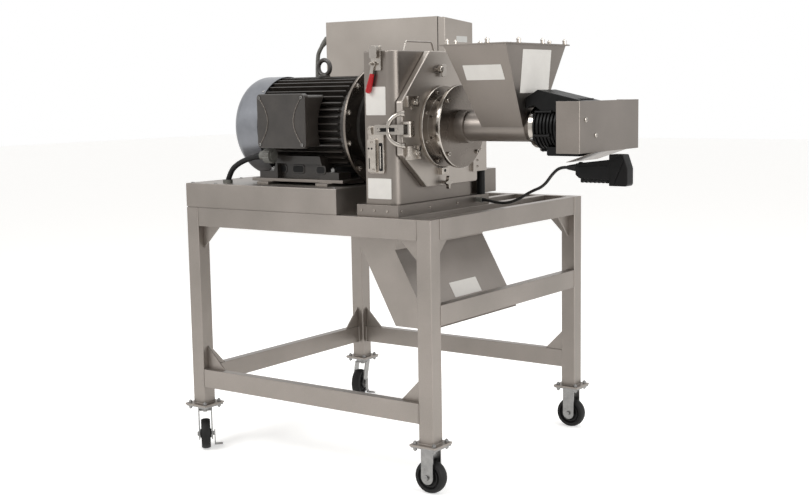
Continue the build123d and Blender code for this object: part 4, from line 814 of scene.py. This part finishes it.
def makeConnector():
    front, middleY, middleZ = connectorPlan["front"], connectorPlan["middleY"], connectorPlan["middleZ"]
    deep = connectorPlan["halfDeep"]

    def outline(points):
        return [(front + x, middleZ + z) for x, z in points]

    shape = bmesh.new()
    prismForm(shape, outline([(-202, 22), (-66, 38), (-66, -34), (-188, -30), (-202, -18)]),
              middleY - deep + 3, middleY + deep - 3)
    prismForm(shape, outline([(-70, -54), (-5, -54), (0, -47), (0, 8), (-17, 56), (-70, 56)]), middleY - deep,
              middleY + deep)
    piece = finishPiece("driveConnectorDressed", shape, blackNylon, "door")
    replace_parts(roundEdges(piece, 3.0), "drive_connector")
    shape = bmesh.new()
    for step in range(7):
        x = -182 + step * 16
        prismForm(shape, outline([(x, -44), (x + 8, -46), (x + 10, -26), (x - 1, -24)]), middleY - deep + 6,
                  middleY + deep - 6)
    for side in (-1, 1):
        level = middleY + side * deep
        prismForm(shape, outline([(-60, -44), (-50, -48), (-14, 34), (-22, 46), (-60, 30)]),
                  level - 3.2, level + 3.2)
        prismForm(shape, outline([(-64, 44), (-30, 50), (-30, 56), (-64, 56)]), level - 4.5, level + 4.5)
        prismForm(shape, outline([(-190, 6), (-78, 12), (-78, 18), (-190, 12)]), level - side * 3 - 1.6,
                  level - side * 3 + 1.6)
    roundEdges(finishPiece("connectorRibs", shape, blackNylon, "door"), 1.2)
    shape = bmesh.new()
    profile = [(0, 0), (0, 21), (8, 21), (10, 15)]
    for step in range(6):
        profile += [(12 + step * 7, 15.0 - step * 1.2), (16 + step * 7, 15.0 - step * 1.2),
                    (17 + step * 7, 12.6 - step * 1.1), (18.5 + step * 7, 12.6 - step * 1.1)]
    profile += [(57, 7.4), (58, 5.8)]
    turnForm(shape, profile, spot(1062, -280, 1202), (-1, 0, 0), 28)
    finishPiece("driveCordSleeve", shape, blackRubber, "door")


# Interlock on the housing: two cast shells, screws, a dark striker strip, and a key slot and two holes drawn
# as thin dark plates, painted shade in the openings
interlockPlan = {"wall": -540.0,
                 "shells": [(70, 176, 8, 354, 0, 1268.5, 10, 1.4), (38, 124, 6, 341, 9.5, 1246, 11, 1.6),
                            (18, 30, 4, 331, 9.5, 1338, 8, 1.2), (40, 20, 5, 383, 9.5, 1346, 14, 1.6)],
                 "screws": [(341, 20.2, 1297), (350, 20.2, 1196), (331, 17, 1345), (382, 23, 1345)]}


def makeInterlock():
    wall = interlockPlan["wall"]
    shape = bmesh.new()
    for width, height, corner, x, proud, z, depth, soften in interlockPlan["shells"]:
        plateForm(shape, roundedOutline(width, height, corner), spot(x, wall - proud, z), (1, 0, 0),
                  (0, 0, 1), depth, soften)
    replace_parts(finishPiece("doorInterlockDressed", shape, brightStainless, "frame"), "door_interlock")
    shape = bmesh.new()
    plateForm(shape, roundedOutline(15, 104, 4), spot(376, wall - 9.8, 1242), (1, 0, 0), (0, 0, 1), 2.2, 0.5)
    # Two holes and the key slot as thin dark plates: painted shade in the openings
    for x in (328.4, 342.3):
        plateForm(shape, roundedOutline(8, 8, 3.9, 4), spot(x, wall - 20.3, 1273), (1, 0, 0), (0, 0, 1),
                  0.9, 0.2)
    plateForm(shape, roundedOutline(4, 40, 1.8), spot(330, wall - 20.3, 1218), (1, 0, 0), (0, 0, 1), 0.9, 0.2)
    finishPiece("interlockStripAndHoleShade", shape, blackNylon, "frame")
    shape = bmesh.new()
    turnForm(shape, [(0, 3), (82, 3), (83, 2), (83, 0)], spot(377, wall - 14.5, 1200), (0, 0, 1), 12)
    for x, proud, z in interlockPlan["screws"]:
        socketScrew(shape, spot(x, wall - proud, z), (0, -1, 0), 5, 3)
    finishPiece("interlockScrews", shape, polishedStainless, "frame")


# Door: bolts on its brackets, dark discs as painted shade for the holes in the small block, hinge screws, the
# ball knob's bracket
def makeDoorDetails():
    shape = bmesh.new()
    for y, z in ((-457, 1441), (-457, 1258), (-29, 1249)):
        place, outward = landOn("door_brackets door_plate", spot(1000, y, z), (-1, 0, 0))
        hexBolt(shape, place, outward, 15, 8, 12)
    for y, z in ((-37, 1205), (-37, 1181), (-470, 1420), (-444, 1458), (-470, 1278), (-444, 1238)):
        place, outward = landOn("door_brackets door_plate", spot(1000, y, z), (-1, 0, 0))
        socketScrew(shape, place, outward, 5, 3)
    plateForm(shape, roundedOutline(30, 46, 5), spot(472.5, -272, 1556), (0, 1, 0), (0, 0, 1), 5, 1.0)
    finishPiece("doorBolts", shape, polishedStainless, "door")
    shape = bmesh.new()
    # Thin dark discs on the small block: painted shade in its holes
    for y in (-281, -253):
        place, outward = landOn("door_brackets door_plate", spot(1000, y, 1179), (-1, 0, 0))
        plateForm(shape, roundedOutline(12, 12, 5.9, 4), place, (0, 1, 0), (0, 0, 1), 1.0, 0.2)
    finishPiece("blockHoleShade", shape, blackNylon, "door")


# Latch: thicker bow round the clamp, bright rails and between them a dark strip along the arm, painted shade
# of the channel
bowPlan = {"middle": (478.0, -548.0, 1343.0), "towards": (-0.894427, -0.447214, 0), "radius": 58.0,
           "rod": 8.6}


def makeLatchDetails():
    shape, dark = bmesh.new(), bmesh.new()
    place, outward = landOn("latch_arm", spot(430, -700, 1343), (0, 1, 0))
    upward = Vector((0, 0, 1))
    across = upward.cross(outward)
    for level in (-12, 12):
        plateForm(shape, roundedOutline(78, 5, 2), place + upward * level / 1000, across, upward, 4.0, 0.8)
    # Thin dark strip between the rails: painted shade in the channel
    plateForm(dark, roundedOutline(74, 14, 2), place, across, upward, 0.8, 0.2)
    for x in (-32, 32):
        turnForm(shape, [(0, 6), (4, 6), (5, 5), (5, 0)], place + across * x / 1000, outward, 18)
    middle = spot(*bowPlan["middle"])
    ringArc(shape, middle, (0, 0, 1), bowPlan["towards"], bowPlan["radius"], bowPlan["rod"], 0, 180, 30)
    for side in (-1, 1):
        end = middle + Vector((0, 0, side * bowPlan["radius"] / 1000))
        turnForm(shape, [(-7, 0), (-7, 9), (-5, 11), (5, 11), (7, 9), (7, 0)], end, bowPlan["towards"], 20)
    finishPiece("latchRails", shape, polishedStainless, "latch")
    finishPiece("latchChannelShade", dark, blackNylon, "latch")


# Glands: knurled nuts and short ribbed sleeves where the cords leave
glandPlan = {"teeth": 18, "nuts": [("motorGlandNut", (-190, -508, 1236), (-1, 0, 0), 31.0, 34.0),
                                   ("baseGlandNut", (476, -20, 1046), (1, 0, 0), 12.0, 8.0)],
             "sleeves": [("motorCableSleeve", (-250, -508, 1236), (-0.983, 0, -0.182), 15.5, 11.4, 34.0),
                         ("baseCordSleeve", (478, -20, 1046), (1, 0, 0), 8.6, 6.1, 20.0),
                         ("conduitTopSleeve", (-508.3, 225, 1708.7), (-0.707, 0, -0.707), 13.0, 9.9, 26.0),
                         ("conduitLowSleeve", (-540, 56, 1074), (0, 1, 0), 13.0, 9.9, 22.0)]}


def makeGlands():
    for name, place, axis, radius, length in glandPlan["nuts"]:
        shape = bmesh.new()
        axis, first, second = crossAxes(axis)
        outline = []
        for step in range(glandPlan["teeth"] * 4):
            turn = 2 * math.pi * step / (glandPlan["teeth"] * 4)
            reach = radius - (0 if step % 4 < 2 else radius * 0.08)
            outline.append((reach * math.cos(turn), reach * math.sin(turn)))
        plateForm(shape, outline, spot(*place), first, second, length, 1.2)
        finishPiece(name, shape, greyPolyamide, "frame")
    for name, place, axis, wide, narrow, length in glandPlan["sleeves"]:
        shape = bmesh.new()
        profile = [(0, narrow), (0, wide)]
        ribs = int(length / 5)
        for step in range(ribs):
            part = step / ribs
            swell = wide + (narrow - wide) * part
            dip = max(swell - 1.2, narrow)
            profile += [(length * part + 0.5, swell), (length * part + 3.0, swell),
                        (length * part + 3.4, dip), (length * part + 4.6, dip)]
        profile += [(length, narrow + 0.2), (length, narrow - 0.4)]
        turnForm(shape, profile, spot(*place), axis, 28)
        finishPiece(name, shape, greyPolyamide if "conduit" in name else blackRubber, "frame")


# Wheels: moulded rings on both sides
wheelPlan = {"halfWide": 16.0, "ring": [(-1, 38), (0.8, 38), (1.6, 36.5), (1.6, 33.5), (0.8, 32), (-1, 32)]}


def makeWheelHubs():
    wheels = [("rigid_wheel_front_body", casterPlan["x"], -casterPlan["y"], 90.0),
              ("rigid_wheel_back_body", casterPlan["x"], casterPlan["y"], 90.0),
              ("swivel_wheel_front_body", *swivelWheel("Front")[:2], 45.0),
              ("swivel_wheel_back_body", *swivelWheel("Back")[:2], 15.0)]
    for body, x, y, angle in wheels:
        turn = math.radians(angle)
        axle = Vector((math.cos(turn), math.sin(turn), 0))
        shape = bmesh.new()
        for side in (-1, 1):
            face = spot(x, y, casterPlan["axle"]) + axle * side * wheelPlan["halfWide"] / 1000
            turnForm(shape, wheelPlan["ring"], face, axle * side, 40)
        finishPiece(body.replace("_body", "Rings"), shape, blackRubber, body)


# Bare plates and places where the real machine carries words
barePlates = [
    ("hopperSidePlate", "blank", "door", "feed_hopper", (751, -900, 1543), (0, 1, 0), (160, 60)),
    ("hopperFrontPlate", "blank", "door", "feed_hopper", (1200, -262, 1545), (-1, 0, 0), (205, 155)),
    ("housingUpperPlate", "blank", "frame", "mill_housing", (350, -900, 1447), (0, 1, 0), (90, 104)),
    ("housingLowerPlate", "blank", "frame", "mill_housing", (361, -900, 1124), (0, 1, 0), (108, 76)),
    ("chutePlate", "blank", "frame", "discharge_chute", (1200, -185, 718), (-1, 0, 0), (190, 62)),
    ("enclosurePlate", "metal", "enclosure_door_body", "enclosure_door", (1200, 335, 1700), (-1, 0, 0),
     (84, 26)),
]


def makeBarePlates():
    for name, kind, body, nodeName, start, direction, size in barePlates:
        shape = bmesh.new()
        plateOn(shape, nodeName, spot(*start), direction, roundedOutline(*size, 3), 0.8, 0.3)
        finishPiece(name, shape, blankVinyl if kind == "blank" else blankPlate, body)


makeBarePlates()
makeLiftingEye()
makeMotorDetails()
makeClampGrip()
makeGuard()
makeGearMotor()
makeConnector()
makeInterlock()
makeDoorDetails()
makeLatchDetails()
makeGlands()
makeWheelHubs()
print("details made")


# Cords, on the same route points as the solids
def layCord(name, settings, finish, nodeName):
    points = [spot(*point) for point in settings["points"]]
    curve = bpy.data.curves.new(name, "CURVE")
    curve.dimensions = "3D"
    curve.bevel_depth = settings["diameter"] / 2
    curve.bevel_resolution = 6
    curve.resolution_u = 16
    curve.use_fill_caps = True
    line = curve.splines.new("NURBS")
    line.points.add(len(points) - 1)
    for point, place in zip(line.points, points):
        point.co = (*place, 1)
    line.order_u = 3
    line.use_endpoint_u = True
    cord = addObject(name, curve)
    curve.materials.append(finish)
    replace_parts(cord, nodeName)
    return cord


def meshFromCord(cord, name):
    # The cord made a mesh; its path is read from the spline without its thickness
    thickness = cord.data.bevel_depth
    cord.data.bevel_depth = 0
    bpy.context.view_layer.update()
    line = bpy.data.meshes.new_from_object(cord.evaluated_get(bpy.context.evaluated_depsgraph_get()))
    path = [vertex.co.copy() for vertex in line.vertices]
    cord.data.bevel_depth = thickness
    bpy.context.view_layer.update()
    tube = bpy.data.meshes.new_from_object(cord.evaluated_get(bpy.context.evaluated_depsgraph_get()))
    tube.name = name
    piece = addObject(name, tube)
    bpy.data.objects.remove(cord)
    return piece, path


driveCord = {"diameter": 0.0115, "length": 0.62, "points": [
    (478, -20, 1046), (502, -20, 1046), (540, -22, 1039), (600, -36, 1037), (680, -78, 1057),
    (765, -125, 1096), (852, -180, 1122), (936, -262, 1178), (976, -280, 1202), (1004, -280, 1202)]}
motorCable = {"diameter": 0.022, "length": 0.245, "points": [
    (-250, -508, 1236), (-320, -508, 1223), (-383, -508, 1199), (-424, -508, 1168), (-441, -508, 1124)]}
conduit = {"diameter": 0.019, "length": 0.74, "points": [
    (-508.3, 225, 1708.7), (-538.3, 225, 1678.7), (-555.5, 225, 1637), (-556, 224, 1430), (-552, 220, 1215),
    (-542, 167, 1106), (-540, 116, 1074), (-540, 56, 1074)]}

driveLine = layCord("driveCordLine", driveCord, blackRubber, "drive_cord")
motorLine = layCord("motorCableLine", motorCable, blackRubber, "motor_cable")
conduitLine = layCord("conduitLine", conduit, greyPolyamide, "enclosure_conduit")
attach(motorLine, "frame")
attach(conduitLine, "frame")
print("cords laid")

# Floor, backdrop light and lamps
studio = {"floorColour": "#f2f2f1", "floorRough": 0.9, "floorReach": 30, "lift": 0.45,
          "worldColour": "#f4f2ef", "worldStrength": 0.6}


def seenDirectly(tree):
    # One for what the camera sees, straight or mirrored in metal
    path = addNode(tree, "ShaderNodeLightPath").outputs
    mirrored = addNode(tree, "ShaderNodeMath", {"operation": "MAXIMUM"},
                       {0: path["Is Glossy Ray"], 1: path["Is Transmission Ray"]})
    either = addNode(tree, "ShaderNodeMath", {"operation": "MAXIMUM"},
                     {0: path["Is Camera Ray"], 1: mirrored.outputs[0]})
    return either.outputs[0]


def makeStudio():
    mesh = bpy.data.meshes.new("studioFloor")
    reach = studio["floorReach"]
    corners = [(-reach, -reach, 0), (reach, -reach, 0), (reach, reach, 0), (-reach, reach, 0)]
    mesh.from_pydata(corners, [], [(0, 1, 2, 3)])
    floor = addObject("studioFloor", mesh)
    paint = bpy.data.materials.new("studioPaper")
    paint.use_nodes = True
    tree = paint.node_tree
    shader = tree.nodes["Principled BSDF"]
    shader.inputs["Base Color"].default_value = linearColour(studio["floorColour"])
    shader.inputs["Roughness"].default_value = studio["floorRough"]
    glow = addNode(tree, "ShaderNodeEmission", {"Strength": studio["lift"]})
    none = addNode(tree, "ShaderNodeEmission", {"Strength": 0.0})
    chosen = addNode(tree, "ShaderNodeMixShader", {},
                     {"Fac": seenDirectly(tree), 1: none.outputs[0], 2: glow.outputs[0]})
    total = addNode(tree, "ShaderNodeAddShader", {}, {0: shader.outputs[0], 1: chosen.outputs[0]})
    tree.links.new(total.outputs[0], tree.nodes["Material Output"].inputs["Surface"])
    mesh.materials.append(paint)
    world = bpy.data.worlds.new("studioWorld")
    bpy.context.scene.world = world
    world.use_nodes = True
    tree = world.node_tree
    back = tree.nodes["Background"]
    back.inputs["Color"].default_value = linearColour(studio["worldColour"])
    back.inputs["Strength"].default_value = studio["worldStrength"]
    seen = addNode(tree, "ShaderNodeBackground", {"Color": (1, 1, 1, 1), "Strength": 1.0})
    mixed = addNode(tree, "ShaderNodeMixShader", {},
                    {"Fac": seenDirectly(tree), 1: back.outputs[0], 2: seen.outputs[0]})
    tree.links.new(mixed.outputs[0], tree.nodes["World Output"].inputs["Surface"])


def addLamp(name, place, target, size, power):
    data = bpy.data.lights.new(name, "AREA")
    data.shape = "RECTANGLE"
    data.size, data.size_y = size
    data.energy = power
    lamp = addObject(name, data)
    lamp.location = place
    lamp.rotation_euler = (Vector(target) - Vector(place)).to_track_quat("-Z", "Y").to_euler()
    data.cycles.cast_shadow = True


makeStudio()
addLamp("keyLamp", (-1.6, -4.2, 4.2), (0, 0, 1.1), (2.6, 1.8), 125)
addLamp("topLamp", (0.2, 0.4, 4.6), (0, 0, 1.0), (3.2, 2.4), 90)
addLamp("sideLamp", (4.8, -0.6, 2.4), (0, 0, 1.0), (3.0, 3.0), 115)
bpy.context.scene.view_settings.view_transform = "Standard"
print("studio ready")

driveTube, drivePath = meshFromCord(driveLine, "driveCordTube")
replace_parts(driveTube, "drive_cord")
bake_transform(driveTube)
